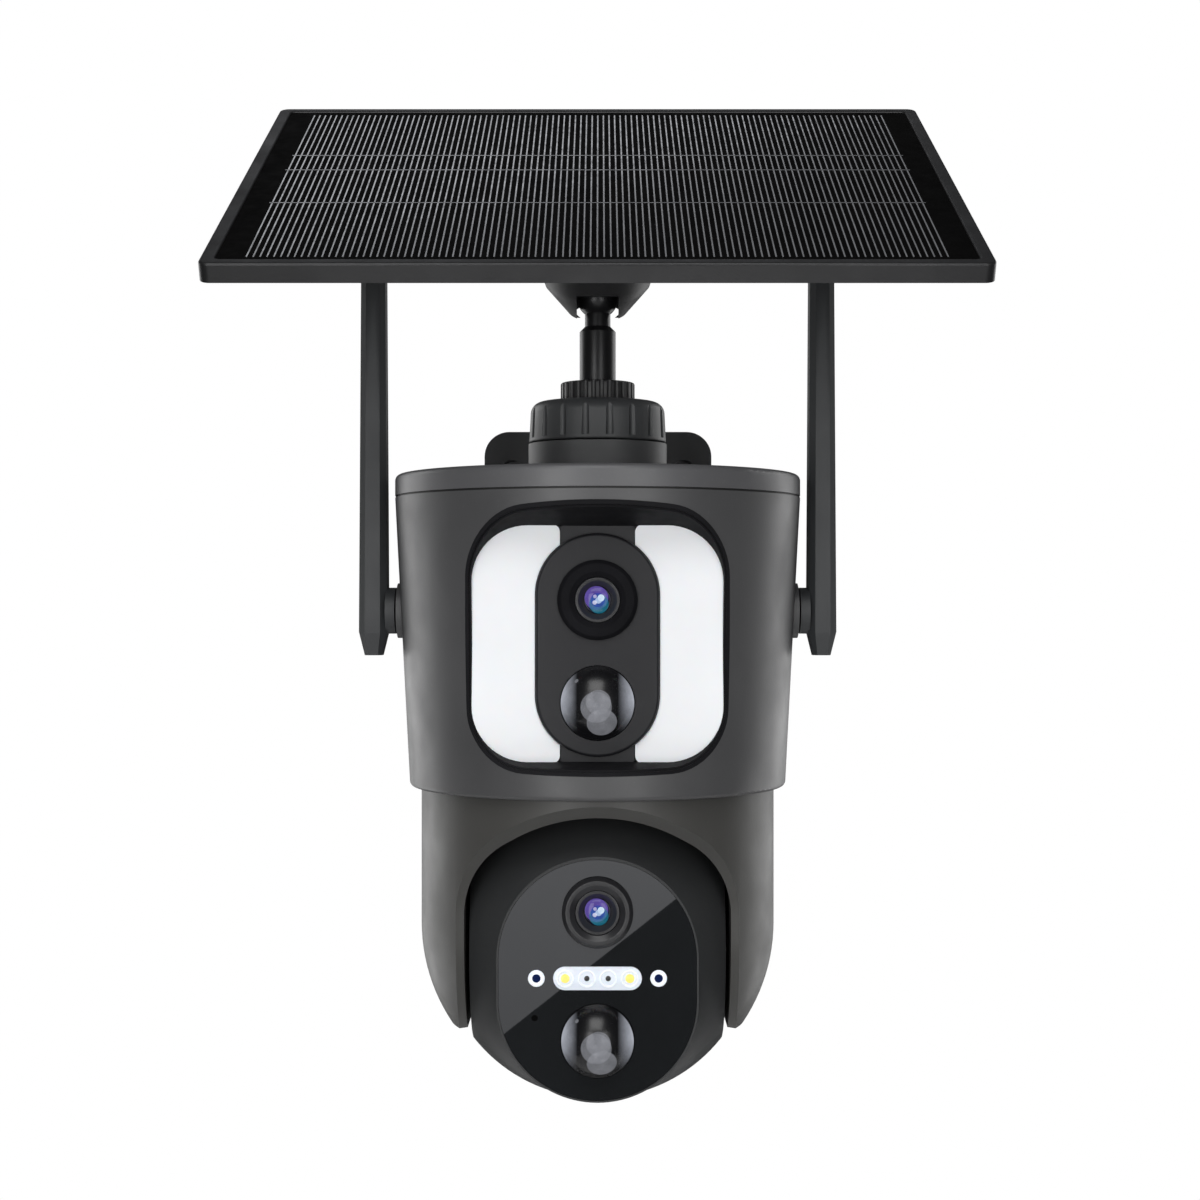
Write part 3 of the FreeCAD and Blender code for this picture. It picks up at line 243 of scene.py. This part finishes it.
def coated_optic(name, rim, heart):
    """Coated lens glass: a blue tint, with painted shade at the rim and a painted reflection at the bright
    heart.
    """
    look = Look(name)
    radial = look.node("TexGradient")
    radial.gradient_type = "SPHERICAL"
    shift = look.node("Mapping")
    shift.inputs["Scale"].default_value = (260, 260, 260)
    look.link(look.place, shift.inputs["Vector"])
    look.link(shift.outputs["Vector"], radial.inputs["Vector"])
    ramp = look.tree.nodes.new("ShaderNodeValToRGB")
    # the blue is the glass's own tint; its darkening to the rim and brightening to the heart is painted
    # light
    stops = ((0.0, scaled(rim, 0.3)), (0.35, rim), (0.62, scaled(heart, 0.5)), (0.85, heart))
    elements = ramp.color_ramp.elements
    while len(elements) < len(stops):
        elements.new(0.5)
    for element, (position, color) in zip(elements, stops):
        element.position = position
        element.color = (*color, 1)
    look.link(radial.outputs["Fac"], ramp.inputs["Fac"])
    look.link(ramp.outputs["Color"], look.shader.inputs["Base Color"])
    look.bump(look.noise(30, 1), 0.02, 0.0002)
    look.set(Roughness=0.04, Coat_Weight=1.0, Coat_Roughness=0.02)
    look.set(**{"Specular_IOR_Level": 0.8})
    return look.material


LOOKS = {
    "housing_grey": moulded("housing_plastic", (0.062, 0.062, 0.064), 0.42, tone=0.06),
    "cap_grey": moulded("cap_plastic", (0.09, 0.09, 0.094), 0.4, tone=0.06),
    "yoke_grey": moulded("yoke_plastic", (0.052, 0.051, 0.048), 0.45, tone=0.06, specular=0.4),
    "head_grey": moulded("head_plastic", (0.026, 0.027, 0.028), 0.42, tone=0.06, specular=0.35),
    "bracket_grey": moulded("bracket_plastic", (0.055, 0.056, 0.058), 0.52),
    "antenna_black": moulded("antenna_rubber", (0.028, 0.03, 0.032), 0.5, grain=1800),
    "nut_grey": moulded("collar_plastic", (0.046, 0.048, 0.05), 0.48, grain=1800, grain_strength=0.3),
    "nut_black": moulded("nut_plastic", (0.02, 0.02, 0.021), 0.45, grain=2000, grain_strength=0.35),
    "post_metal": moulded("post_coating", (0.014, 0.014, 0.015), 0.33, metal=0.3),
    "insert_black": moulded("insert_plastic", (0.018, 0.018, 0.02), 0.45, specular=0.3),
    "lens_black": moulded("capsule_plastic", (0.012, 0.012, 0.014), 0.42, specular=0.3),
    "lens_ring_black": moulded("lens_ring_plastic", (0.018, 0.018, 0.02), 0.34, grain=3000),
    "panel_frame_black": moulded("frame_anodised", (0.02, 0.02, 0.021), 0.35, grain=3200, metal=0.4),
    "panel_back_black": moulded("panel_back_plastic", (0.018, 0.018, 0.019), 0.5, grain=1600),
    "rubber_black": moulded("rubber", (0.012, 0.012, 0.012), 0.6, grain=1500),
    "button_red": moulded("button_plastic", (0.3, 0.02, 0.015), 0.4),
    "gear_white": moulded("gear_acetal", (0.7, 0.68, 0.62), 0.4, tone=0.04),
    # the diffuser's faint glow is painted light
    "diffuser_white": milky("diffuser_plastic", (0.83, 0.84, 0.86), glow=0.05),
    "dome_clear": glossy("sensor_dome", (0.006, 0.006, 0.007), 0.24, coat=0.0),
    "window_black": glossy("smoked_window", (0.009, 0.01, 0.011), 0.008, smear=0.008),
    "lens_glass": coated_optic("coated_glass", (0.01, 0.012, 0.05), (0.08, 0.12, 0.6)),
    "panel_glass": dull_glass("solar_glass", (0.0012, 0.0011, 0.0011)),
    "solar_cell": glossy("solar_silicon", (0.006, 0.006, 0.012), 0.2),
    "circuit_green": board("solder_mask", (0.02, 0.16, 0.06)),
    "sensor_metal": metal("tinned_can", (0.6, 0.6, 0.6)),
    "steel": metal("zinc_plate", (0.55, 0.55, 0.56)),
    "led_yellow": milky("led_phosphor", (0.9, 0.72, 0.2)),
    "cell_wrap": glossy("cell_sleeve", (0.03, 0.12, 0.35), 0.2, coat=0.5),
}


WELD_GAP = 0.000002     # in metres
CREASE_ANGLE = 28       # edges sharper than this stay sharp, in degrees


def dress_cad_nodes():
    """Give every CAD node its material and smooth its shading across small angles."""
    slots = {part["node"]: part["material_slot"] for part in frame["record"]["subparts"]}
    for name, node in NODES.items():
        node.data.materials.clear()
        node.data.materials.append(LOOKS[slots[name]])
        normals = node.data.attributes.get("custom_normal")
        if normals is not None:
            node.data.attributes.remove(normals)
        node.data.shade_smooth()
        weld = node.modifiers.new("weld", "WELD")
        weld.merge_threshold = WELD_GAP
        split = node.modifiers.new("split", "EDGE_SPLIT")
        split.split_angle = math.radians(CREASE_ANGLE)
    # the lights turn this ring too grey in its slot's finish, so it takes a duller one
    NODES["upper_lens_ring"].data.materials[0] = dull_glass("upper_ring_plastic", (0.006, 0.006, 0.007))


# ---------------------------------------------------------------- mesh making

FACE_FRONT = Matrix.Rotation(math.radians(90), 4, "X")     # own +Z to the front, -Y


def finish_piece(name, mesh, at, turn, body, look, sharp=35):
    """Turn a bmesh into an object at a place, on a body, with its finish."""
    bmesh.ops.recalc_face_normals(mesh, faces=mesh.faces)
    data = bpy.data.meshes.new(name)
    mesh.to_mesh(data)
    mesh.free()
    data.shade_smooth()
    data.set_sharp_from_angle(angle=math.radians(sharp))
    data.materials.append(look)
    piece = bpy.data.objects.new(name, data)
    bpy.context.scene.collection.objects.link(piece)
    piece.matrix_world = Matrix.Translation(at) @ turn
    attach(piece, body)
    return piece


def lathe(profile, steps=72):
    """Solid of revolution about Z from (radius, height) points in millimetres."""
    mesh = bmesh.new()
    rings = []
    for radius, height in profile:
        if radius < 1e-6:
            rings.append([mesh.verts.new((0, 0, height * MM))])
            continue
        ring = []
        for step in range(steps):
            angle = 2 * math.pi * step / steps
            ring.append(mesh.verts.new((radius * MM * math.cos(angle), radius * MM * math.sin(angle),
                                        height * MM)))
        rings.append(ring)
    closed = len(rings[0]) > 1
    pairs = list(zip(rings, rings[1:])) + ([(rings[-1], rings[0])] if closed else [])
    for lower, upper in pairs:
        join_rings(mesh, lower, upper)
    return mesh


def join_rings(mesh, lower, upper):
    count = max(len(lower), len(upper))
    for step in range(count):
        corners = []
        for ring, order in ((lower, (0, 1)), (upper, (1, 0))):
            for offset in order:
                vertex = ring[(step + offset) % len(ring)]
                if vertex not in corners:
                    corners.append(vertex)
        mesh.faces.new(corners)


def stadium_points(half_width, high, low, steps=24):
    """Outline of an upright stadium in millimetres; high and low are its arcs' centres."""
    points = []
    for centre, start in ((low, math.pi), (high, 0)):
        for step in range(steps + 1):
            angle = start + math.pi * step / steps
            points.append((half_width * math.cos(angle), centre + half_width * math.sin(angle)))
    return points


def plate(points, rise, bevel):
    """Solid plate on Z = 0 with a bevelled top edge; points go round anticlockwise."""
    mesh = bmesh.new()
    area_centre = Vector((sum(x for x, _ in points), sum(y for _, y in points))) / len(points)
    levels = [(0, 0), (0, rise - bevel), (bevel * 0.3, rise - bevel * 0.3), (bevel, rise)]
    rings = []
    for inset, height in levels:
        ring = []
        for x, y in points:
            out = Vector((x, y)) - area_centre
            spot = area_centre + out * (1 - inset / max(out.length, 1e-6))
            ring.append(mesh.verts.new((spot.x * MM, spot.y * MM, height * MM)))
        rings.append(ring)
    for lower, upper in zip(rings, rings[1:]):
        join_rings(mesh, lower, upper)
    mesh.faces.new(rings[0][::-1])
    mesh.faces.new(rings[-1])
    return mesh


# ---------------------------------------------------------------- lenses and domes, in millimetres

SEAT_DEPTH = 1.1         # where the lens details start, behind the lens ring's front
ELEMENT_DEPTH = 1.1      # tip of the front element behind that
ELEMENT_BALL = 11.8      # radius of the element's curve at its tip
DOME_RISE = 7.0          # height of a sensor dome above its rim


def lens_details(prefix, at, body):
    """Stepped baffle rings inside the lens ring, and the domed front element behind them."""
    baffle = lathe([(6.35, 0.0), (6.35, -0.7), (5.6, -0.7), (5.6, -1.3), (5.0, -1.3), (5.0, -1.9),
                    (4.4, -1.9), (4.4, -2.5), (3.9, -2.5), (3.9, -3.4), (6.3, -3.4)])
    finish_piece(prefix + "_lens_baffle", baffle, at, FACE_FRONT, body, LOOKS["lens_ring_black"],
                 sharp=20)
    half, back, rim, rise, steps = 4.2, -3.4, -2.6, 1.5, 12
    dome = [(0, back), (half, back), (half, rim)]
    for step in range(1, steps):
        angle = math.radians(90 * step / steps)
        dome.append((half * math.cos(angle), rim + rise * math.sin(angle)))
    dome.append((0, -ELEMENT_DEPTH))
    glass = finish_piece(prefix + "_front_element", lathe(dome), at, FACE_FRONT, body, LOOKS["lens_glass"])
    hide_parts(prefix + "_lens_glass")


def cap_patch(mesh, ball, x, z, radius, lift):
    """Round patch on a ball of a given radius, centred x across and z up, in millimetres."""
    steps, rings = 64, 4 + math.ceil(radius)
    reach = ball + lift
    middle_way = Vector((x, -math.sqrt(reach ** 2 - x ** 2 - z ** 2), z)).normalized()
    side = middle_way.cross(Vector((0, 0, 1))).normalized()
    up = side.cross(middle_way)
    layers = []
    for ring in range(rings + 1):
        spread = math.asin(radius / reach) * ring / rings
        layer = []
        for step in range(steps if ring else 1):
            angle = 2 * math.pi * step / steps
            aside = side * math.cos(angle) + up * math.sin(angle)
            way = middle_way * math.cos(spread) + aside * math.sin(spread)
            layer.append(mesh.verts.new(way * reach * MM))
        layers.append(layer)
    for inner, outer in zip(layers, layers[1:]):
        join_rings(mesh, inner, outer)


def dome_details(prefix, body):
    """Soft round lights mirrored in the sensor dome, as clear patches lying on it."""
    low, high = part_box(prefix + "_motion_dome")
    half, rise = (high.x - low.x) / 2 / MM, DOME_RISE
    ball = (half ** 2 + rise ** 2) / (2 * rise)
    at = Vector(((low.x + high.x) / 2, low.y + ball * MM, (low.z + high.z) / 2))
    dome_painted_sheen(prefix, at, ball, body)
    look = glint(prefix + "_dome_shine", (0.8, 0.82, 0.9), 0.3, 0.42)
    spots = ((0.3, 0.6, 3.4), (-0.4, -0.9, 4.3), (1.3, -5.4, 4.2), (-5.8, 6.3, 0.6))
    for number, (x, z, radius) in enumerate(spots):
        mesh = bmesh.new()
        cap_patch(mesh, ball, x, z, radius, 0.14 + 0.03 * number)
        finish_piece(f"{prefix}_dome_shine_{number}", mesh, at, Matrix.Identity(4), body, look)


def dome_painted_sheen(prefix, at, ball, body):
    """Painted sheen on the dome: a clear glowing skin that brightens towards its left and right edges, less
    so low down.
    """
    look = Look(prefix + "_dome_edge_sheen")
    apart = look.node("SeparateXYZ")
    look.link(look.place, apart.inputs["Vector"])
    across = look.tree.nodes.new("ShaderNodeMath")
    across.operation = "ABSOLUTE"
    look.link(apart.outputs["X"], across.inputs[0])
    # painted highlight: the glow grows towards the dome's left and right edges and fades low down
    edge = look.spread(across.outputs[0], 0, 1, 0.0056, 0.0106)
    upper = look.spread(apart.outputs["Z"], 0, 1, -0.0085, 0.001)
    both = look.tree.nodes.new("ShaderNodeMath")
    both.operation = "MULTIPLY"
    look.link(edge, both.inputs[0])
    look.link(upper, both.inputs[1])
    look.link(look.spread(both.outputs[0], 0, 0.85, 0, 1), look.shader.inputs["Alpha"])
    cloud = look.spread(look.noise(500, 3), 0.55, 0.7)
    look.link(cloud, look.shader.inputs["Emission Strength"])
    look.set(Emission_Color=(0.8, 0.84, 0.95, 1), Base_Color=(0.02, 0.02, 0.02, 1), Roughness=0.5)
    look.set(**{"Specular_IOR_Level": 0.0})
    mesh = bmesh.new()
    cap_patch(mesh, ball, 0, 0, 10.2, 0.09)
    finish_piece(prefix + "_dome_painted_sheen", mesh, at, Matrix.Identity(4), body, look.material)


def lens_painted_reflections(prefix, at, body):
    """Painted reflections on the front element, as glowing see-through patches: violet above, teal below
    and a blue-white glint.
    """
    middle_point = at + Vector((0, (ELEMENT_DEPTH + ELEMENT_BALL) * MM, 0))
    # name, colour, glow, alpha, place across, place up, radius
    spots = (("violet", (0.3, 0.2, 0.9), 0.45, 0.6, -0.3, 0.6, 3.3),
             ("teal", (0.03, 0.4, 0.6), 0.4, 0.55, 0.4, -1.1, 2.7),
             ("deep", (0.05, 0.1, 0.7), 0.4, 0.6, 0.1, 0.0, 2.0),
             ("glint_right", (0.7, 0.85, 1.0), 1.0, 0.75, 1.0, 0.6, 0.95),
             ("glint_middle", (0.6, 0.75, 1.0), 0.9, 0.6, 0.3, -0.1, 0.9),
             ("glint_left", (0.8, 0.8, 1.0), 0.9, 0.6, -0.8, -0.7, 0.6),
             ("spark", (0.75, 0.7, 1.0), 0.8, 0.6, -0.7, 1.0, 0.5))
    # each spot is a painted reflection: a glowing see-through patch on the front element
    for number, (word, color, glow, alpha, x, z, radius) in enumerate(spots):
        mesh = bmesh.new()
        cap_patch(mesh, ELEMENT_BALL, x, z, radius, 0.03 + 0.02 * number)
        finish_piece(f"{prefix}_lens_{word}", mesh, middle_point, Matrix.Identity(4), body,
                     glint(f"{prefix}_{word}", color, glow, alpha))


# ---------------------------------------------------------------- head window, in millimetres

LAMP_PLACES = (-9.1, -3.0, 3.0, 9.1)         # across the window
STATUS_PLACES = (-17.2, 17.2)
MICROPHONE_PLACE = (-17.7, -11.2)            # across and up from the middle of the bar


def led_bar(at):
    """Clear bar with four lamps: the outer two are yellow chips, the inner two small dark ones."""
    half, reach = 3.3, 12.5
    outline = [(y, -x) for x, y in stadium_points(half, reach - half, half - reach)]
    bar = plate(outline[::-1] if is_clockwise(outline) else outline, 0.35, 0.15)
    # the clear bar's glow is painted light
    clear = milky("bar_plastic", (0.72, 0.75, 0.82), glow=0.12)
    finish_piece("led_bar_window", bar, at, FACE_FRONT, "head", clear)
    yellow = milky("lamp_phosphor", (0.92, 0.74, 0.16), glow=0.25)
    # the white glow of the lamp cups and status rings is painted light
    silver = milky("lamp_reflector", (0.85, 0.87, 0.92), glow=0.2)
    for number, x in enumerate(LAMP_PLACES):
        spot = at + Vector((x * MM, -0.3 * MM, 0))
        cup = lathe([(2.5, 0), (2.5, 0.35), (2.15, 0.45), (1.9, 0.2), (1.9, 0)], 40)
        finish_piece(f"lamp_cup_{number}", cup, spot, FACE_FRONT, "head", silver)
        warm = number in (0, 3)
        radius = 1.25 if warm else 0.75
        chip = plate([(radius * math.cos(math.radians(angle)), radius * math.sin(math.radians(angle)))
                      for angle in range(0, 360, 12)], 0.3, 0.1)
        look = yellow if warm else LOOKS["lens_ring_black"]
        finish_piece(f"lamp_chip_{number}", chip, spot, FACE_FRONT, "head", look)
    status_lamps(at, silver)
    microphone(at)


def status_lamps(at, silver):
    """Ringed round lamps, one on each side of the bar."""
    for number, x in enumerate(STATUS_PLACES):
        spot = at + Vector((x * MM, 0, 0))
        ring = lathe([(2.35, 0), (2.35, 0.3), (2.0, 0.5), (1.2, 0.35), (1.2, 0)], 40)
        finish_piece(f"status_ring_{number}", ring, spot, FACE_FRONT, "head", silver)
        eye = lathe([(0, 0), (1.2, 0), (1.15, 0.3), (0.7, 0.55), (0, 0.65)], 40)
        finish_piece(f"status_eye_{number}", eye, spot, FACE_FRONT, "head",
                     dull_glass(f"status_glass_{number}", (0.004, 0.01, 0.05)))


def microphone(at):
    """Small dark disc below the left status lamp, painted shade in place of the microphone's hole."""
    hole = lathe([(0, 0), (0.9, 0), (0.9, 0.04), (0.7, 0.06), (0.6, 0.02), (0, 0.02)], 32)
    across, up = MICROPHONE_PLACE
    mouth = at + Vector((across * MM, 0, up * MM))
    # near black: painted shade for the hole
    dark = dull_glass("microphone_painted_shade", (0.0008, 0.0008, 0.0008))
    finish_piece("microphone_rim", hole, mouth, FACE_FRONT, "head", dark)


def is_clockwise(points):
    area = 0
    for (x0, y0), (x1, y1) in zip(points, points[1:] + points[:1]):
        area += x0 * y1 - x1 * y0
    return area < 0


# ---------------------------------------------------------------- housing mouth, in millimetres

CONE_FOOT = 56.0     # radius of the housing's cone at its lower end


def round_outline(half, high, low, corner, steps=14):
    """Rounded rectangle astride X = 0, anticlockwise from its lower right corner."""
    points = []
    for x, z, start in ((half - corner, low + corner, -90), (half - corner, high - corner, 0),
                        (corner - half, high - corner, 90), (corner - half, low + corner, 180)):
        for step in range(steps + 1):
            angle = math.radians(start + 90 * step / steps)
            points.append(Vector((x + corner * math.cos(angle), 0, z + corner * math.sin(angle))))
    return points


def dense(points, gap=2.0):
    """The same closed outline with points no further apart than gap."""
    full = []
    for here, there in zip(points, points[1:] + points[:1]):
        count = max(1, math.ceil((there - here).length / gap))
        full.extend(here.lerp(there, part / count) for part in range(count))
    return full


def housing_face():
    """The radius of the housing's outer cone at a height, as a function; all in millimetres."""
    low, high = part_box("upper_housing")
    upper_radius, lower_radius = (high.x - low.x) / 2 / MM, CONE_FOOT
    upper_z, lower_z = high.z / MM, low.z / MM
    return lambda z: lower_radius + (upper_radius - lower_radius) * (z - lower_z) / (upper_z - lower_z)


def mouth_lining():
    """Dark lining of the recess round the upper lights, and a dark band of painted shade where it meets the
    face, wider towards the top.
    """
    low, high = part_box("insert_panel")
    seat_gap, corner = 0.15, 16.0
    half = (high.x - low.x) / 2 / MM + seat_gap
    top, bottom = high.z / MM + seat_gap, low.z / MM - seat_gap
    tall, back_y = top - bottom, low.y / MM
    deep, side_flare, low_flare, tall_flare = 18.0, 2.4, 2.2, 7.6
    inner = dense(round_outline(half, top, bottom, corner))
    outer = [Vector((point.x * (half + side_flare) / half, -deep,
                     bottom - low_flare + (point.z - bottom) * (tall + tall_flare) / tall))
             for point in inner]
    face_radius = housing_face()

    def on_face(x, z, lift):
        radius = face_radius(z) + lift
        return Vector((x, AXIS.y / MM - math.sqrt(radius ** 2 - x ** 2), z))

    mesh = bmesh.new()
    rings = [[], [], [], []]
    lip = [[], [], [], []]
    for near, far in zip(inner, outer):
        start = near + Vector((0, back_y + 0.02, 0))
        way = Vector((far.x - near.x, far.y, far.z - near.z))
        part, stride, below_face = 0.035, 0.002, 0.9
        while part < 1:
            spot = start + way * part
            if math.hypot(spot.x, spot.y - AXIS.y / MM) > face_radius(spot.z) - below_face:
                break
            part += stride
        inwards = (Vector((0, 0, (top + bottom) / 2)) - Vector((near.x * 0.6, 0, near.z))).normalized()
        for ring, depth, lift in zip(rings, (0.05, 0.05, 0.75, 0.75), (0, part, part, 0)):
            ring.append(mesh.verts.new((start + way * lift + inwards * depth) * MM))
        spot = start + way * part
        # painted shade: the dark band on the face grows wider towards the top
        rise = max(0.0, (near.z - bottom) / tall - 0.5)
        reach = spot - inwards * (1.0 + 1.2 * rise ** 2)
        for ring, edge, lift in zip(lip, (spot, reach, reach, spot), (0.07, 0.07, -0.5, -0.5)):
            ring.append(mesh.verts.new(on_face(edge.x, edge.z, lift) * MM))
    for band in (rings, lip):
        for first, second in zip(band, band[1:] + band[:1]):
            join_rings(mesh, first, second)
    lining = dull_glass("dark_lining_and_painted_shade", (0.009, 0.009, 0.01))
    finish_piece("mouth_lining", mesh, Vector((0, 0, 0)), Matrix.Identity(4), "housing", lining)


# ---------------------------------------------------------------- solar panel, in millimetres

GLASS_THICK = 2.2
PANEL_LENGTH = 2 * 78.9
CELLS_HALF_WIDTH = 92.2
ROW_EDGES = (0.036, 0.344, 0.553, 0.652, 0.955)     # parts of the panel's length, from its front
FINGERS = 103
PRINT_HALF_WIDTH = 0.2


def panel_axes():
    """Middle of the glass and the directions across it, up its slope and out of it."""
    low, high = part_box("panel_glass")
    rise, run = high.z - low.z, high.y - low.y
    thick = GLASS_THICK * MM
    tilt = math.atan2(rise, run)
    for _ in range(8):
        tilt = math.atan2(rise - thick * math.cos(tilt), run - thick * math.sin(tilt))
    across = Vector((1, 0, 0))
    slope = Vector((0, math.cos(tilt), math.sin(tilt)))
    out = across.cross(slope)
    centre = (low + high) / 2
    return centre, across, slope, out


def solar_cells():
    """Printed fingers and bus bars of the cells, as thin raised ribbons just on the glass."""
    centre, across, slope, out = panel_axes()
    turn = Matrix((across, slope, out)).transposed().to_4x4()
    top = GLASS_THICK / 2
    rows = [-PANEL_LENGTH / 2 + part * PANEL_LENGTH for part in ROW_EDGES]
    row_gap = 1.0
    mesh = bmesh.new()
    for number in range(FINGERS):
        x = -CELLS_HALF_WIDTH + 2 * CELLS_HALF_WIDTH * (number + 0.5) / FINGERS
        for low, high in zip(rows, rows[1:]):
            ribbon(mesh, x, (low + high) / 2, PRINT_HALF_WIDTH, (high - low - row_gap) / 2, top)
    finger_look = metal("silver_print", (0.7, 0.71, 0.72), 0.12, grain=300)
    finish_piece("cell_fingers", mesh, centre, turn, "panel", finger_look, sharp=30)
    mesh = bmesh.new()
    for y in rows[1:-1]:
        ribbon(mesh, 0, y, CELLS_HALF_WIDTH, PRINT_HALF_WIDTH, top)
    finish_piece("cell_bus_bars", mesh, centre, turn, "panel", finger_look, sharp=30)


def ribbon(mesh, x, y, half_x, half_y, base, rise=0.05):
    """Thin flat strip."""
    corners = [mesh.verts.new(((x + sx * half_x) * MM, (y + sy * half_y) * MM, (base + z) * MM))
               for z in (0, rise) for sx, sy in ((-1, -1), (1, -1), (1, 1), (-1, 1))]
    for face in ((3, 2, 1, 0), (4, 5, 6, 7), (0, 1, 5, 4), (1, 2, 6, 5), (2, 3, 7, 6), (3, 0, 4, 7)):
        mesh.faces.new([corners[index] for index in face])


# ---------------------------------------------------------------- studio

def studio_world():
    """White behind the object, and a dim even surround for everything it reflects."""
    world = bpy.data.worlds.new("studio")
    bpy.context.scene.world = world
    world.use_nodes = True
    tree = world.node_tree
    surround = tree.nodes["Background"]
    surround.inputs["Color"].default_value = (0.96, 0.98, 1, 1)
    surround.inputs["Strength"].default_value = 0.045
    white = tree.nodes.new("ShaderNodeBackground")
    white.inputs["Color"].default_value = (1, 1, 1, 1)
    path = tree.nodes.new("ShaderNodeLightPath")
    mix = tree.nodes.new("ShaderNodeMixShader")
    tree.links.new(path.outputs["Is Camera Ray"], mix.inputs["Fac"])
    tree.links.new(surround.outputs["Background"], mix.inputs[1])
    tree.links.new(white.outputs["Background"], mix.inputs[2])
    tree.links.new(mix.outputs["Shader"], tree.nodes["World Output"].inputs["Surface"])


def paper_disc():
    """Pale round floor well below the object."""
    low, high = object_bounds()
    drop, radius = 0.42, 0.62
    mesh = bmesh.new()
    bmesh.ops.create_circle(mesh, cap_ends=True, segments=96, radius=radius)
    data = bpy.data.meshes.new("paper_floor")
    mesh.to_mesh(data)
    mesh.free()
    paper = Look("paper")
    paper.link(paper.blend(paper.spread(paper.noise(3), 0, 1), (0.86, 0.86, 0.86), (0.9, 0.9, 0.9)),
               paper.shader.inputs["Base Color"])
    paper.set(Roughness=0.9)
    data.materials.append(paper.material)
    floor = bpy.data.objects.new("paper_floor", data)
    floor.location = ((low.x + high.x) / 2, (low.y + high.y) / 2, low.z - drop)
    bpy.context.scene.collection.objects.link(floor)
    floor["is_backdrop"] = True


def reflection_card(name, corners, dim, bright):
    """Glowing card for glossy faces to mirror, dim to bright upwards; the camera itself can't see it."""
    data = bpy.data.meshes.new(name)
    data.from_pydata(corners, [], [tuple(range(len(corners)))])
    heights = [corner.z for corner in corners]
    glow = Look(name)
    apart = glow.node("SeparateXYZ")
    glow.link(glow.place, apart.inputs["Vector"])
    glow.link(glow.spread(apart.outputs["Z"], dim, bright, min(heights), max(heights)),
              glow.shader.inputs["Emission Strength"])
    glow.set(Base_Color=(0, 0, 0, 1), Emission_Color=(0.95, 0.96, 1.0, 1), Roughness=1.0)
    data.materials.append(glow.material)
    card = bpy.data.objects.new(name, data)
    card.visible_camera = False
    bpy.context.scene.collection.objects.link(card)
    card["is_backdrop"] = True


def mirror_spot(point, normal, eye, reach):
    """Where the sight line that reaches a glossy face at point goes on to, that far after it."""
    sight = (point - eye).normalized()
    return point + (sight - 2 * sight.dot(normal) * normal) * reach


def window_card(eye):
    """Soft card below and in front, mirrored in the upper left part of the head's window."""
    reach = 1.1
    front = Vector((0, -1, 0))
    low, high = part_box("front_window")
    spots = [Vector((low.x - 0.01, low.y, low.z + 0.0097)), Vector((high.x + 0.01, low.y, high.z + 0.0016)),
             Vector((low.x - 0.01, low.y, high.z + 0.1))]
    reflection_card("window_card", [mirror_spot(spot, front, eye, reach) for spot in spots], 0.7, 1.5)


def panel_cards(eye):
    """Cards up behind, mirrored in the cells' silver lines: bright for the upper left, dim for the rest."""
    centre, across, slope, out = panel_axes()
    reach = 2.2

    def spot(x, y):
        return mirror_spot(centre + across * x * MM + slope * y * MM, out, eye, reach)

    reflection_card("panel_bright_card", [spot(-130, -110), spot(130, 98.6), spot(-130, 200)], 0.62, 0.62)
    reflection_card("panel_dim_card", [spot(-129, -110.5), spot(131, -190), spot(131, 98.1)], 0.2, 0.2)


CAMERA_LENS = 61.2          # in millimetres, on a sensor 36 mm wide
CAMERA_DISTANCE = 0.612     # in metres, in front of the pan axis
CAMERA_ASIDE = 0.0007


def studio():
    """Soft lights round the object and the level camera in front."""
    scene = bpy.context.scene
    studio_world()
    paper_disc()
    aim = Vector((AXIS.x, AXIS.y, UPPER_LENS.z))
    area_light("front_top", aim + Vector((-0.1, -0.9, 1.0)), aim, (0.9, 0.9), 9)
    area_light("front_left", aim + Vector((-0.42, -1.1, 0.0)), aim, (0.35, 0.9), 5)
    area_light("front_right", aim + Vector((0.42, -1.1, 0.0)), aim, (0.35, 0.9), 4)
    area_light("front_low", aim + Vector((0, -0.85, -0.9)), aim, (0.8, 0.6), 3)
    area_light("side_left", aim + Vector((-0.8, 0.7, 0)), aim, (0.8, 1.2), 7)
    area_light("side_right", aim + Vector((0.8, 0.7, 0)), aim, (0.8, 1.2), 6)

    camera = bpy.data.cameras.new("camera")
    camera.lens = CAMERA_LENS
    camera.sensor_width = 36
    camera.clip_start = 0.01
    eye = bpy.data.objects.new("camera", camera)
    eye.location = (AXIS.x + CAMERA_ASIDE, AXIS.y - CAMERA_DISTANCE, middle("upper_lens_ring").z)
    eye.rotation_euler = (math.radians(90), 0, 0)
    scene.collection.objects.link(eye)
    scene.camera = eye
    scene.view_settings.view_transform = "Standard"
    window_card(Vector(eye.location))
    panel_cards(Vector(eye.location))


def area_light(name, at, aim, size, power):
    light = bpy.data.lights.new(name, "AREA")
    light.shape = "RECTANGLE"
    light.size, light.size_y = size
    light.energy = power
    lamp = bpy.data.objects.new(name, light)
    lamp.location = at
    lamp.rotation_euler = (aim - at).to_track_quat("-Z", "Y").to_euler()
    bpy.context.scene.collection.objects.link(lamp)


dress_cad_nodes()
for prefix, lens_at, rider in (("upper", UPPER_LENS, "housing"), ("lower", LOWER_LENS, "head")):
    seat = lens_at + Vector((0, SEAT_DEPTH * MM, 0))
    lens_details(prefix, seat, rider)
    lens_painted_reflections(prefix, seat, rider)
    dome_details(prefix, rider)
mouth_lining()
led_bar(Vector((WINDOW.x, WINDOW.y, middle("head_leds").z)))
solar_cells()
studio()
